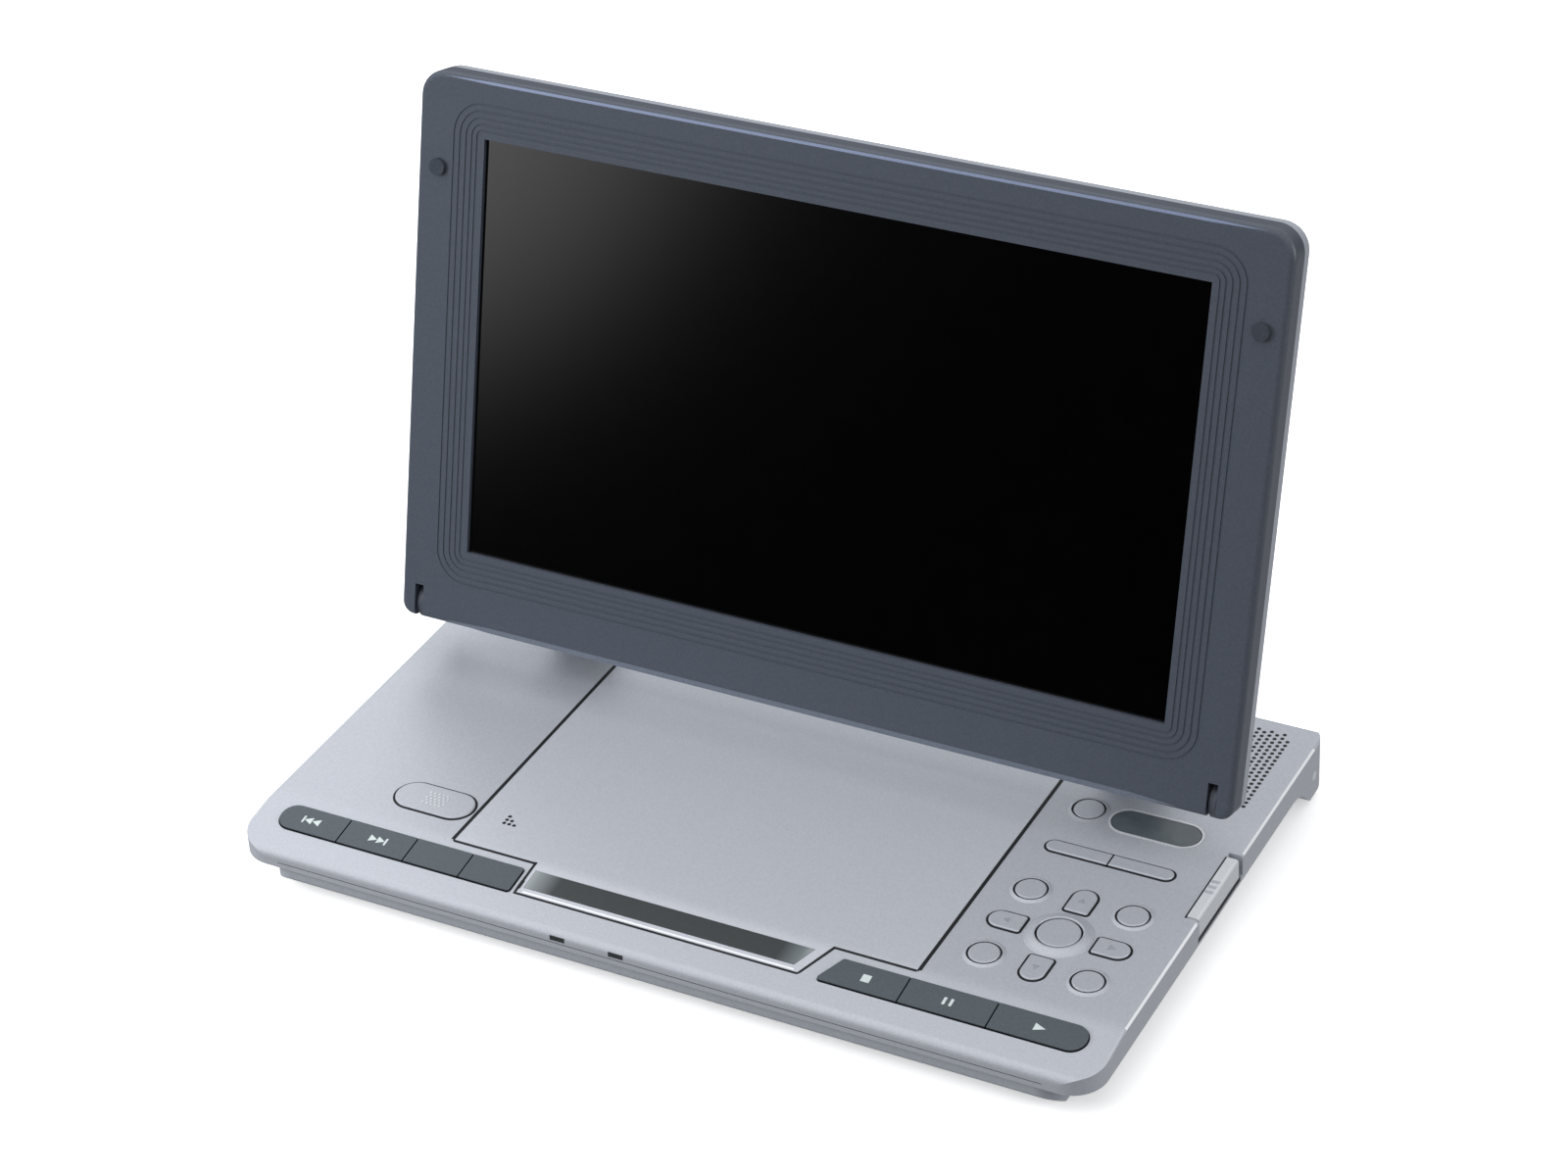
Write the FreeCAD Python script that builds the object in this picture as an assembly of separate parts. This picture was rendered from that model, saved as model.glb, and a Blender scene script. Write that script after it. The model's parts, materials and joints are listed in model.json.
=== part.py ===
import FreeCAD, Part
import math
import os

# Portable disc player with a wide screen on a swinging frame.
# Millimetres. X runs to the right, Y to the rear, Z up. The origin lies on the table,
# under the middle of the base. The screen stands as in use: forward over the base, leaning back.

V = FreeCAD.Vector

# Base housing
BASE_W = 239.0
BASE_D = 151.0
TOP_Z = 16.0
WALL = 1.8
SEAM_Z = 8.6
CASE_BOTTOM = 1.4
FRONT_CORNER_R = 9.0
REAR_CORNER_R = 7.0
SLOPE_RUN = 20.0
SLOPE_DROP = 2.9
CREASE_R = 25.0
EDGE_CHAMFER = 0.5
FRONT_EDGE_R = 2.2
REAR_LEDGE = 1.5
REAR_TOP_R = 2.4
REAR_SHOULDER_DROP = 5.0
REAR_SHOULDER_R = 3.0
TRAY_INSET = 9.5
TRAY_FRONT_GAP = 1.0
TRAY_UNDERCUT = 5.0
TRAY_FRONT_RISE = 3.4
TRAY_EDGE_R = 1.2
TRAY_FLOOR_R = 2.0
TRAY_REAR_RUN = 2.5
TRAY_FOOT_GAP = 2.5
TRAY_CORNER_R = 6.0
FLOOR = 1.6
FLANGE_T = 1.2
SHELL_GAP = 0.3
PAST = 1.0
TINY = 1e-5

# Rear foot, which also holds the cells
FOOT_FRONT = 20.0
FOOT_BOTTOM_FRONT = 12.5
FOOT_BOTTOM_REAR = 5.5
FOOT_FLARE_R = 11.0
FOOT_FRONT_R = 1.2
FOOT_REAR_R = 2.5
FOOT_SHOULDER_RISE = 1.0
FOOT_SHOULDER_R = 2.5
FOOT_WALL = 1.8
CELL_R = 4.0
CELL_COUNT = 3
CELL_END_GAP = 3.8
CELL_GAP = 0.3
CELL_SETBACK = 8.7
CELL_RISE = 7.6
BATTERY_COVER_T = 1.2
BATTERY_COVER_GAP = 0.1
BATTERY_RIB_W = 2.0
RUBBER_R_FRONT = 5.0
RUBBER_R_REAR = 2.0
RUBBER_SIDE_INSET = 24.5
RUBBER_FRONT_INSET = 15.5

# Disc lid
PANEL_W = 54.5
LID_REAR_INSET = 14.5
LID_GAP = 0.5
TONGUE_LEFT_INSET = 24.3
TONGUE_RIGHT_INSET = 22.4
TONGUE_SLANT = 4.6
TONGUE_DEPTH = 10.8
INLAY_T = 0.6
INLAY_MARGIN = 2.6
INLAY_FRONT_MARGIN = 2.0
INLAY_LEFT_MARGIN = 1.0
INLAY_GAP = 0.1
LID_PIN_R = 0.7
LID_PIN_SETBACK = 1.4
LID_PIN_DEPTH = 1.2
LID_PIN_LEN = 10.0
LID_KNUCKLE_T = 1.0
LID_KNUCKLE_D = 1.6
LID_KNUCKLE_LAP = 2.0
LID_BLOCK_D = 2.2
LATCH_RIM_GAP = 2.0
LATCH_W = 12.0
LATCH_DROP = 1.75
LATCH_T = 1.0
LATCH_FRONT = 2.0
LATCH_SETBACK = 0.3
CATCH_MARGIN = 2.0
CATCH_GAP = 0.3
CATCH_T = 2.0
RUN_FIT = 0.06

# Disc drive
WELL_FRONT_INSET = 9.5
WELL_SIDE_INSET = 1.5
WELL_RIM = 1.5
WELL_DEPTH = 4.2
WELL_WALL = 1.2
DECK_T = 1.1
DECK_SIDE_INSET = 2.5
DECK_END_INSET = 9.0
DECK_SPOT_SIDE = 6.5
DECK_SPOT_FRONT = 14.0
DECK_SPOT_REAR = 12.0
DECK_SPOT_R = 1.2
TURNTABLE_R = 14.0
HUB_R = 7.4
HUB_TAPER = 1.4
HUB_H = 3.4
SEAT_T = 0.9
SEAT_LIFT = 0.4
SPINDLE_R = 1.0
SPINDLE_DEPTH = 3.0
SPINDLE_HOLE_R = 3.0
BEARING_R = 2.6
BEARING_RISE = 0.6
MOTOR_R = 12.0
MOTOR_FLOOR_GAP = 0.4
MOTOR_REST_R = 4.0
PICKUP_W = 46.0
PICKUP_D = 12.0
PICKUP_REST = 24.0
PICKUP_END_INSET = 15.0
PICKUP_DROP = 2.0
TOWER_W = 14.0
TOWER_D = 9.0
TOWER_SINK = 0.2
TOWER_ROOM = 2.0
NUT_D = 6.0
NUT_GAP = 0.3
ROD_R = 1.5
ROD_X = 19.0
ROD_DROP = 2.4
ROD_MOTOR_GAP = 2.2
ROD_FRONT_GAP = 2.0
HOLDER_W = 5.2
HOLDER_D = 3.0
HOLDER_DROP = 2.2
NUT_HOLDER_W = 4.4
TAB_MARGIN = 0.5
SCREW_X = 29.0
SCREW_R = 1.2
SCREW_END = 1.0
SLED_MOTOR_R = 2.2
SLED_MOTOR_LEN = 15.4
SLED_MOTOR_GAP = 0.6
SLED_BRACKET_W = 4.0
SLED_BRACKET_D = 9.0
LENS_R = 2.5
LENS_SINK = 0.8
LENS_PROUD = 0.3
GROMMET_R = 3.5
GROMMET_H = 1.4

# Keys and switch
KEY_GAP = 0.3
KEY_PROUD = 0.5
KEY_EDGE_R = 0.35
KEY_FLANGE = 0.8
KEY_FLANGE_T = 0.8
KEY_TRAVEL = 0.6
KEY_BOTTOM_GAP = 0.4
STRIP_INSET = 8.5
STRIP_END_INSET = 6.9
STRIP_DEPTH = 8.2
STRIP_SPLIT = 0.4
STRIP_CORNER_R = 0.8
STRIP_END_EASE = 0.1
STRIP_FLANGE_INSET = 4.5
LEFT_KEY_LENGTHS = (18.9, 19.9, 16.4, 14.8)
RIGHT_KEY_LENGTHS = (21.9, 23.3, 24.4)
RIGHT_KEYS_SLANT = 4.0
PAD_INSET = 28.8
PAD_SHARE = 0.2787
PAD_STEP = 13.6
ROUND_KEY_R = 3.9
ENTER_R = 5.4
ENTER_PROUD = 0.9
ARROW_OFFSET = 14.0
ARROW_W = 6.2
ARROW_L = 9.0
ARROW_CORNER_R = 0.6
ROCKER_SHARE = 0.6284
ROCKER_END_INSET = 12.3
ROCKER_L = 34.1
ROCKER_LEFT_L = 17.2
ROCKER_W = 4.2
ROCKER_FLANGE_INSET = 3.0
LABEL_SHARE = 0.8098
LABEL_INSET = 23.9
LABEL_L = 23.5
LABEL_W = 8.8
LABEL_T = 0.8
LABEL_SINK = 0.7
SOURCE_INSET = 42.5
SOURCE_RISE = 0.6
OPEN_INSET = 41.3
OPEN_BEHIND = 12.0
OPEN_L = 22.4
OPEN_W = 10.6
SWITCH_FRONT = 64.3
SWITCH_L = 25.6
SWITCH_W = 3.1
SWITCH_H = 5.2
SWITCH_PROUD = 0.4
SWITCH_TRAVEL = 2.0
SWITCH_SIDE_SINK = 0.1
SWITCH_LOW_GAP = 0.6
SWITCH_EDGE_R = 0.9

# Boards, posts and screws
BOARD_T = 0.8
KEY_BOARD_Z = 9.9
KEY_BOARD_FRONT = 4.5
KEY_BOARD_BACK = 1.0
KEY_BOARD_REAR = 1.5
HANGER_FRONT_GAP = 1.2
HANGER_REAR_GAP = 2.2
HANGER_OUTER = 12.6
HANGER_INNER = 15.0
HANGER_ROCKER = 7.0
MAIN_BOARD_Z = 4.0
MAIN_BOARD_T = 1.2
MAIN_BOARD_SIDE = 16.5
MAIN_BOARD_FRONT = 2.5
MAIN_BOARD_REAR = 30.5
CHIP_FRONT = 4.0
CHIP_H = 1.2
CHIPS = ((-42.0, 16.0, 14.0), (-14.0, 12.0, 8.0), (24.0, 20.0, 14.0), (48.0, 8.0, 12.0))
STANDOFF_R = 2.0
STANDOFF_MIDDLE = 30.0
STANDOFF_SIDE = 24.5
STANDOFF_FRONT = 6.0
STANDOFF_REAR = 5.0
POST_R = 1.2
BOSS_R = 3.0
BOSS_GAP = 0.4
BOSS_LID_GAP = 4.5
BOSS_CREASE_GAP = 1.5
BOSS_SIDE_INSET = 15.0
SCREW_HEAD_R = 2.4
SCREW_HEAD_T = 0.9
SCREW_HEAD_GAP = 0.1
SCREW_SHANK_R = 1.0
SCREW_SHANK_LEN = 9.0

# Sockets, windows and speakers
JACK_R = 1.8
POWER_JACK_R = 2.1
JACK_RISE = 2.85
JACK_FRONT = 41.5
JACK_PITCH = 10.0
POWER_JACK_PITCH = 12.0
JACK_DEPTH = 12.0
JACK_MARGIN = 2.6
JACK_COLLAR = 0.5
WINDOW_W = 4.2
WINDOW_H = 1.5
WINDOW_Z = 10.6
WINDOW_XS = (-24.0, -7.5)
WINDOW_SINK = 0.2
WINDOW_LAP = 0.6
SPEAKER_SIDE_INSET = 15.0
SPEAKER_REAR_INSET = 7.5
SPEAKER_W = 15.0
SPEAKER_L = 32.0
SPEAKER_T = 4.0
SPEAKER_FRAME_T = 1.2
SPEAKER_RIM = 1.5
SPEAKER_CONE_DEPTH = 0.6
MAGNET_END_INSET = 6.0
MAGNET_SIDE_INSET = 2.5

# Screen
SCREEN_W = 238.6
SCREEN_H = 149.0
SCREEN_T = 12.0
SCREEN_CORNER_R = 7.0
SCREEN_FOOT_R = 3.5
SCREEN_LEAN = 15.0
SCREEN_FRONT = 84.2
SCREEN_Z = 31.4
BEZEL_T = 6.4
BEZEL_EDGE_R = 1.6
BACK_EDGE_R = 3.0
SCREEN_WALL = 2.0
BEZEL_SIDE = 19.7
BEZEL_TOP = 15.6
BEZEL_LOW = 21.4
BEZEL_LIP = 1.2
PANEL_T = 2.2
GLASS_LAP = 2.5
GLASS_GAP = 0.2
GROOVES = (2.1, 3.6, 5.3, 7.1, 8.9)
GROOVE_W = 0.6
GROOVE_DEPTH = 0.2
MODULE_LAP = 4.4
MODULE_T = 3.8
STOP_SIDE = 39.3
STOP_INSET = 8.0
BUMPER_SIDE = 6.3
BUMPER_TOP = 25.0
BUMPER_R = 2.25
BUMPER_H = 1.0
BUMPER_SINK = 0.6
SCREEN_SCREW_SIDE = 8.8
SCREEN_SCREW_LOW = 32.0
SCREEN_SCREW_TOP = 37.0
SCREEN_SCREW_BITE = 1.6
SCREEN_BOARD_SIDE = 37.3
SCREEN_BOARD_LOW = 4.6
SCREEN_BOARD_H = 10.8
SCREEN_BOARD_T = 1.2
SCREEN_BOARD_BACK = 2.4
SCREEN_POST_SIDE = 49.3
SCREEN_POST_U = 10.0
SCREEN_POST_R = 2.0

# Swinging frame that carries the screen
AXLE_U = 3.6
KNUCKLE_INSET = 5.5
KNUCKLE_T = 1.8
KNUCKLE_R = 5.2
SLOT_GAP = 0.4
LUG_SIDE = 4.5
LUG_TOP = 3.5
LINK_BACK = 10.2
LINK_DOWN = 4.2
LINK_ROD_R = 2.0
LINK_EYE_R = 3.6
TILT_PIN_R = 1.5
TILT_PIN_LEN = 10.0
CLOSED_GAP = 1.4
PIVOT_DEPTH = 4.0
PIVOT_R = 1.5
ARM_INSET = 38.75
ARM_W = 17.5
ARM_HALF_T = 2.2
ARM_EYE_R = 3.4
ARM_END_R = 1.5
ARM_INNER_R = 0.8
ARM_NECK = 0.6
BRIDGE_R = 1.0
CHANNEL_GAP = 0.6
CHANNEL_FLOOR_GAP = 0.6
CHANNEL_REACH = 8.4
CHANNEL_WALL = 1.6

# Places that follow from the sizes above
HALF_W = BASE_W / 2.0
FRONT_Y = -BASE_D / 2.0
REAR_Y = BASE_D / 2.0
REAR_TOP_Y = REAR_Y - REAR_LEDGE
CREASE_Y = FRONT_Y + SLOPE_RUN
SLOPE = SLOPE_DROP / SLOPE_RUN
SKIN_UNDER = TOP_Z - WALL
DECK_TOP = SKIN_UNDER - WELL_DEPTH
DECK_UNDER = DECK_TOP - DECK_T
FLOOR_TOP = CASE_BOTTOM + FLOOR
FLANGE_TOP = SEAM_Z + FLANGE_T
FOOT_FRONT_Y = REAR_Y - FOOT_FRONT
FOOT_LOW_FRONT = REAR_Y - FOOT_BOTTOM_FRONT
FOOT_LOW_REAR = REAR_Y - FOOT_BOTTOM_REAR
FOOT_SHOULDER_Z = SEAM_Z + FOOT_SHOULDER_RISE
CELL_DOOR = (FOOT_LOW_FRONT + FOOT_WALL, FOOT_LOW_REAR - FOOT_WALL / 2.0)

LID_HALF = HALF_W - PANEL_W
LID_REAR = REAR_Y - LID_REAR_INSET
TONGUE_LEFT = TONGUE_LEFT_INSET - LID_HALF
TONGUE_RIGHT_TOP = LID_HALF - TONGUE_RIGHT_INSET
TONGUE_RIGHT_LOW = TONGUE_RIGHT_TOP - TONGUE_SLANT
LID_PIN = (LID_REAR - LID_PIN_SETBACK, TOP_Z - LID_PIN_DEPTH)

RIM_FRONT = FRONT_Y + WELL_FRONT_INSET
RIM_HALF = LID_HALF - WELL_SIDE_INSET
DISC_Y = (RIM_FRONT + LID_REAR) / 2.0
WELL_REAR = LID_REAR + SHELL_GAP + WELL_WALL
WELL_HALF = RIM_HALF + SHELL_GAP + WELL_WALL
RIM_R = min(RIM_HALF, (LID_REAR - RIM_FRONT) / 2.0)
LATCH_BACK_Y = CREASE_Y - LATCH_SETBACK
RIM_AT_LATCH = RIM_HALF - RIM_R + math.sqrt(RIM_R ** 2 - (RIM_FRONT + RIM_R - LATCH_BACK_Y) ** 2)
LATCH_X = -RIM_AT_LATCH - LATCH_RIM_GAP - LATCH_W
PICKUP_TRAVEL = DISC_Y - PICKUP_REST - (FRONT_Y + PICKUP_END_INSET)
ROD_Z = DECK_UNDER - ROD_DROP
ROD_ENDS = (DISC_Y - PICKUP_REST - PICKUP_TRAVEL - PICKUP_D / 2.0 - ROD_FRONT_GAP,
            DISC_Y - MOTOR_R - ROD_MOTOR_GAP)

STRIP_FRONT = FRONT_Y + STRIP_INSET
LEFT_ROW = (STRIP_END_INSET - HALF_W, STRIP_END_INSET - HALF_W + sum(LEFT_KEY_LENGTHS))
RIGHT_ROW = (HALF_W - STRIP_END_INSET - sum(RIGHT_KEY_LENGTHS), HALF_W - STRIP_END_INSET)
SPEAKER_X = HALF_W - SPEAKER_SIDE_INSET
SPEAKER_Y = REAR_Y - SPEAKER_REAR_INSET - SPEAKER_L / 2.0
SPEAKER_FRONT = SPEAKER_Y - SPEAKER_L / 2.0
PANEL_ROOM = SPEAKER_FRONT - CREASE_Y
PAD_X = HALF_W - PAD_INSET
PAD_Y = CREASE_Y + PAD_SHARE * PANEL_ROOM
ROCKER_X1 = HALF_W - ROCKER_END_INSET
ROCKER_X0 = ROCKER_X1 - ROCKER_L
ROCKER_SPLIT = ROCKER_X0 + ROCKER_LEFT_L
ROCKER_Y = CREASE_Y + ROCKER_SHARE * PANEL_ROOM
LABEL_X = HALF_W - LABEL_INSET
LABEL_Y = CREASE_Y + LABEL_SHARE * PANEL_ROOM
SOURCE_X = HALF_W - SOURCE_INSET
SOURCE_Y = LABEL_Y + SOURCE_RISE
OPEN_X = OPEN_INSET - HALF_W
OPEN_Y = CREASE_Y + OPEN_BEHIND
SWITCH_X1 = HALF_W - SWITCH_SIDE_SINK
SWITCH_X0 = SWITCH_X1 - SWITCH_W
SWITCH_Y0 = FRONT_Y + SWITCH_FRONT
JACK_Z = SEAM_Z + JACK_RISE
JACK_X = WALL - HALF_W
FIRST_JACK_Y = FRONT_Y + JACK_FRONT
JACKS = ((FIRST_JACK_Y, JACK_R), (FIRST_JACK_Y + JACK_PITCH, JACK_R),
         (FIRST_JACK_Y + JACK_PITCH + POWER_JACK_PITCH, POWER_JACK_R))

BOARD_FRONT_Y = DISC_Y + MOTOR_R + MAIN_BOARD_FRONT
BOARD_REAR_Y = REAR_Y - MAIN_BOARD_REAR
BOSS_X = LID_HALF + BOSS_LID_GAP
BOSS_Y = (LABEL_Y + LABEL_W / 2.0 + SPEAKER_FRONT) / 2.0
SCREW_SPOTS = [(side * x, y) for side in (-1, 1) for x, y in (
    (BOSS_X, CREASE_Y + BOSS_CREASE_GAP), (BOSS_X, BOSS_Y), (HALF_W - BOSS_SIDE_INSET, BOSS_Y))]
DECK_SPOTS = [(side * (RIM_HALF - DECK_SPOT_SIDE), y) for side in (-1, 1)
              for y in (RIM_FRONT + DECK_SPOT_FRONT, LID_REAR - DECK_SPOT_REAR)]

# Screen and hinge, in the plane across the hinge
SCREEN_Y = FRONT_Y + SCREEN_FRONT
SCREEN_HALF = SCREEN_W / 2.0
ACTIVE_HALF = SCREEN_HALF - BEZEL_SIDE
ACTIVE_TOP = SCREEN_H - BEZEL_TOP
PANEL_BACK = BEZEL_LIP + PANEL_T
MODULE_BACK = PANEL_BACK + MODULE_T
AXLE_D = SCREEN_T / 2.0
KNUCKLE_X = SCREEN_HALF - KNUCKLE_INSET
BUMPER_X = SCREEN_HALF - BUMPER_SIDE
BUMPER_U = SCREEN_H - BUMPER_TOP
SCREEN_BOARD_D = SCREEN_T - SCREEN_BOARD_BACK
ARM_X = HALF_W - ARM_INSET
LEAN = math.radians(SCREEN_LEAN)
AXLE = (SCREEN_Y + AXLE_U * math.sin(LEAN) + AXLE_D * math.cos(LEAN),
        SCREEN_Z + AXLE_U * math.cos(LEAN) - AXLE_D * math.sin(LEAN))
AXLE_CLOSED = (REAR_TOP_Y - AXLE_U, TOP_Z + CLOSED_GAP + AXLE_D)
LINK = (AXLE[0] + LINK_BACK, AXLE[1] - LINK_DOWN)
LINK_CLOSED = (AXLE_CLOSED[0] + LINK_BACK, AXLE_CLOSED[1] - LINK_DOWN)
LINK_MIDDLE = ((LINK[0] + LINK_CLOSED[0]) / 2.0, (LINK[1] + LINK_CLOSED[1]) / 2.0)
LINK_RISE = (LINK_CLOSED[1] - LINK[1]) / (LINK_CLOSED[0] - LINK[0])
PIVOT_Z = TOP_Z - PIVOT_DEPTH
PIVOT = (LINK_MIDDLE[0] - (PIVOT_Z - LINK_MIDDLE[1]) * LINK_RISE, PIVOT_Z)
ARM_SWING = math.degrees(math.atan2(LINK[1] - PIVOT[1], LINK[0] - PIVOT[0])
                         - math.atan2(LINK_CLOSED[1] - PIVOT[1], LINK_CLOSED[0] - PIVOT[0]))
CHANNEL_FLOOR = PIVOT_Z - ARM_EYE_R - CHANNEL_FLOOR_GAP
CHANNEL_X = (ARM_X - ARM_W / 2.0 - CHANNEL_GAP, ARM_X + ARM_W / 2.0 + CHANNEL_GAP)
CHANNEL_Y = PIVOT[0] - CHANNEL_REACH
CELL_LEN = 2.0 * (CHANNEL_X[0] - CHANNEL_WALL - CELL_END_GAP) / CELL_COUNT
CELL_Y = REAR_Y - CELL_SETBACK
CELL_Z = CASE_BOTTOM + CELL_RISE


def outline(points, place):
    """Closed wire through (a, b, radius) corners; place turns a and b into a point in space."""
    count = len(points)
    starts = []
    arcs = []
    for i in range(count):
        a, b, radius = points[i]
        before = points[i - 1]
        after = points[(i + 1) % count]
        if radius <= 0:
            starts.append(((a, b), (a, b)))
            arcs.append(None)
            continue
        ua, ub = before[0] - a, before[1] - b
        va, vb = after[0] - a, after[1] - b
        u_len = math.hypot(ua, ub)
        v_len = math.hypot(va, vb)
        ua, ub, va, vb = ua / u_len, ub / u_len, va / v_len, vb / v_len
        half = math.acos(max(-1.0, min(1.0, ua * va + ub * vb))) / 2.0
        reach = radius / math.tan(half)
        into = (a + ua * reach, b + ub * reach)
        out = (a + va * reach, b + vb * reach)
        mid_a, mid_b = ua + va, ub + vb
        mid_len = math.hypot(mid_a, mid_b)
        to_mid = radius / math.sin(half) - radius
        arcs.append((a + mid_a / mid_len * to_mid, b + mid_b / mid_len * to_mid))
        starts.append((into, out))
    edges = []
    for i in range(count):
        into, out = starts[i]
        if arcs[i]:
            edges.append(Part.Arc(place(*into), place(*arcs[i]), place(*out)).toShape())
        following = starts[(i + 1) % count][0]
        if math.hypot(following[0] - out[0], following[1] - out[1]) > TINY:
            edges.append(Part.LineSegment(place(*out), place(*following)).toShape())
    return Part.Wire(edges)


def prism_x(points, x0, x1):
    return Part.Face(outline(points, lambda y, z: V(x0, y, z))).extrude(V(x1 - x0, 0, 0))


def prism_y(points, y0, y1):
    return Part.Face(outline(points, lambda x, z: V(x, y0, z))).extrude(V(0, y1 - y0, 0))


def prism_z(points, z0, z1):
    return Part.Face(outline(points, lambda x, y: V(x, y, z0))).extrude(V(0, 0, z1 - z0))


def rect(a0, b0, a1, b1, radius=0.0):
    return [(a0, b0, radius), (a1, b0, radius), (a1, b1, radius), (a0, b1, radius)]


def pill(a, b, length, width):
    return rect(a - length / 2.0, b - width / 2.0, a + length / 2.0, b + width / 2.0, width / 2.0)


def box(x0, y0, z0, x1, y1, z1):
    return Part.makeBox(x1 - x0, y1 - y0, z1 - z0, V(x0, y0, z0))


def post(x, y, z0, z1, radius):
    return Part.makeCylinder(radius, z1 - z0, V(x, y, z0), V(0, 0, 1))


def rod_x(y, z, x0, x1, radius):
    return Part.makeCylinder(radius, x1 - x0, V(x0, y, z), V(1, 0, 0))


def rod_y(x, z, y0, y1, radius):
    return Part.makeCylinder(radius, y1 - y0, V(x, y0, z), V(0, 1, 0))


def joined(first, *others):
    return first.fuse(list(others)).removeSplitter() if others else first


def both_sides(shape):
    return [shape, shape.mirror(V(0, 0, 0), V(1, 0, 0))]


def save(name, *solids):
    shape = solids[0] if len(solids) == 1 else Part.makeCompound(list(solids))
    shape.exportStep("parts/%s.step" % name)


def skin_z(y):
    """Height of the base's upper surface at a distance y."""
    return TOP_Z - max(0.0, CREASE_Y - y) * SLOPE


def top_skin():
    """The layer, one wall thick, that the upper surface of the cover and of the lid share."""
    ahead = FRONT_Y - WALL
    behind = REAR_Y + WALL
    return prism_x([
        (ahead, skin_z(ahead), 0), (CREASE_Y, TOP_Z, CREASE_R), (behind, TOP_Z, 0),
        (behind, SKIN_UNDER, 0), (CREASE_Y, SKIN_UNDER, CREASE_R), (ahead, skin_z(ahead) - WALL, 0),
    ], -HALF_W, HALF_W)


def under_skin(gap):
    """The room below that layer, less a gap."""
    high = SKIN_UNDER - gap
    return prism_x([(FRONT_Y, 0, 0), (REAR_Y, 0, 0), (REAR_Y, high, 0), (CREASE_Y, high, 0),
                    (FRONT_Y, skin_z(FRONT_Y) - WALL - gap, 0)], -HALF_W, HALF_W)


def lid_outline(grow):
    left = TONGUE_LEFT - grow
    low = CREASE_Y - TONGUE_DEPTH - grow
    front = CREASE_Y - grow
    half = LID_HALF + grow
    rear = LID_REAR + grow
    return [
        (-half, front, 0), (left, front, 0), (left, low, 0), (TONGUE_RIGHT_LOW + grow, low, 0),
        (TONGUE_RIGHT_TOP + grow, front, 0), (half, front, 0), (half, rear, 0), (-half, rear, 0),
    ]


def well_outline(grow):
    """The disc well's rim: a circle, or a rounded oblong where the lid is not as wide as deep."""
    half = RIM_HALF + grow
    front = RIM_FRONT - grow
    rear = LID_REAR + grow
    return rect(-half, front, half, rear, RIM_R + grow)


def row_edges(start, lengths):
    """Places of the joints between the keys of a row."""
    edges = [start]
    for length in lengths:
        edges.append(edges[-1] + length)
    return edges


def strip_keys():
    """Outlines of the keys on the sloping front strip, by name."""
    rows = (
        (("key_previous", "key_next", "key_skip", "key_mode"), row_edges(LEFT_ROW[0], LEFT_KEY_LENGTHS)),
        (("key_stop", "key_pause", "key_play"), row_edges(RIGHT_ROW[0], RIGHT_KEY_LENGTHS)),
    )
    back = STRIP_FRONT + STRIP_DEPTH
    half_split = STRIP_SPLIT / 2.0
    round_r = STRIP_DEPTH / 2.0 - STRIP_END_EASE
    keys = {}
    for row, (names, edges) in enumerate(rows):
        last = len(names) - 1
        end_radii = (round_r, STRIP_CORNER_R) if row == 0 else (STRIP_CORNER_R, round_r)
        for i, name in enumerate(names):
            x0 = edges[i] + (half_split if i else 0.0)
            x1 = edges[i + 1] - (half_split if i < last else 0.0)
            r0 = end_radii[0] if i == 0 else 0.0
            r1 = end_radii[1] if i == last else 0.0
            slant = RIGHT_KEYS_SLANT if row == 1 and i == 0 else 0.0
            keys[name] = [(x0, STRIP_FRONT, r0), (x1, STRIP_FRONT, r1),
                          (x1, back, r1), (x0 + slant, back, r0)]
    return keys


def strip_hole(row, slant):
    """One opening for a whole row of strip keys."""
    front = STRIP_FRONT - KEY_GAP
    back = STRIP_FRONT + STRIP_DEPTH + KEY_GAP
    round_r = (back - front) / 2.0 - STRIP_END_EASE
    small_r = STRIP_CORNER_R + KEY_GAP
    r0, r1 = (small_r, round_r) if slant else (round_r, small_r)
    x0 = row[0] - KEY_GAP
    x1 = row[1] + KEY_GAP
    return [(x0, front, r0), (x1, front, r1), (x1, back, r1), (x0 + slant, back, r0)]


def arrow(turns, grow):
    """A D-shaped key beside the enter key: flat end inwards, round end outwards."""
    near = ARROW_OFFSET - ARROW_L / 2.0 - grow
    far = ARROW_OFFSET + ARROW_L / 2.0 + grow
    half = ARROW_W / 2.0 + grow
    corners = [(near, -half, ARROW_CORNER_R), (far, -half, half),
               (far, half, half), (near, half, ARROW_CORNER_R)]
    angle = math.radians(90.0 * turns)
    cos, sin = math.cos(angle), math.sin(angle)
    return [(PAD_X + a * cos - b * sin, PAD_Y + a * sin + b * cos, r) for a, b, r in corners]


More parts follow.
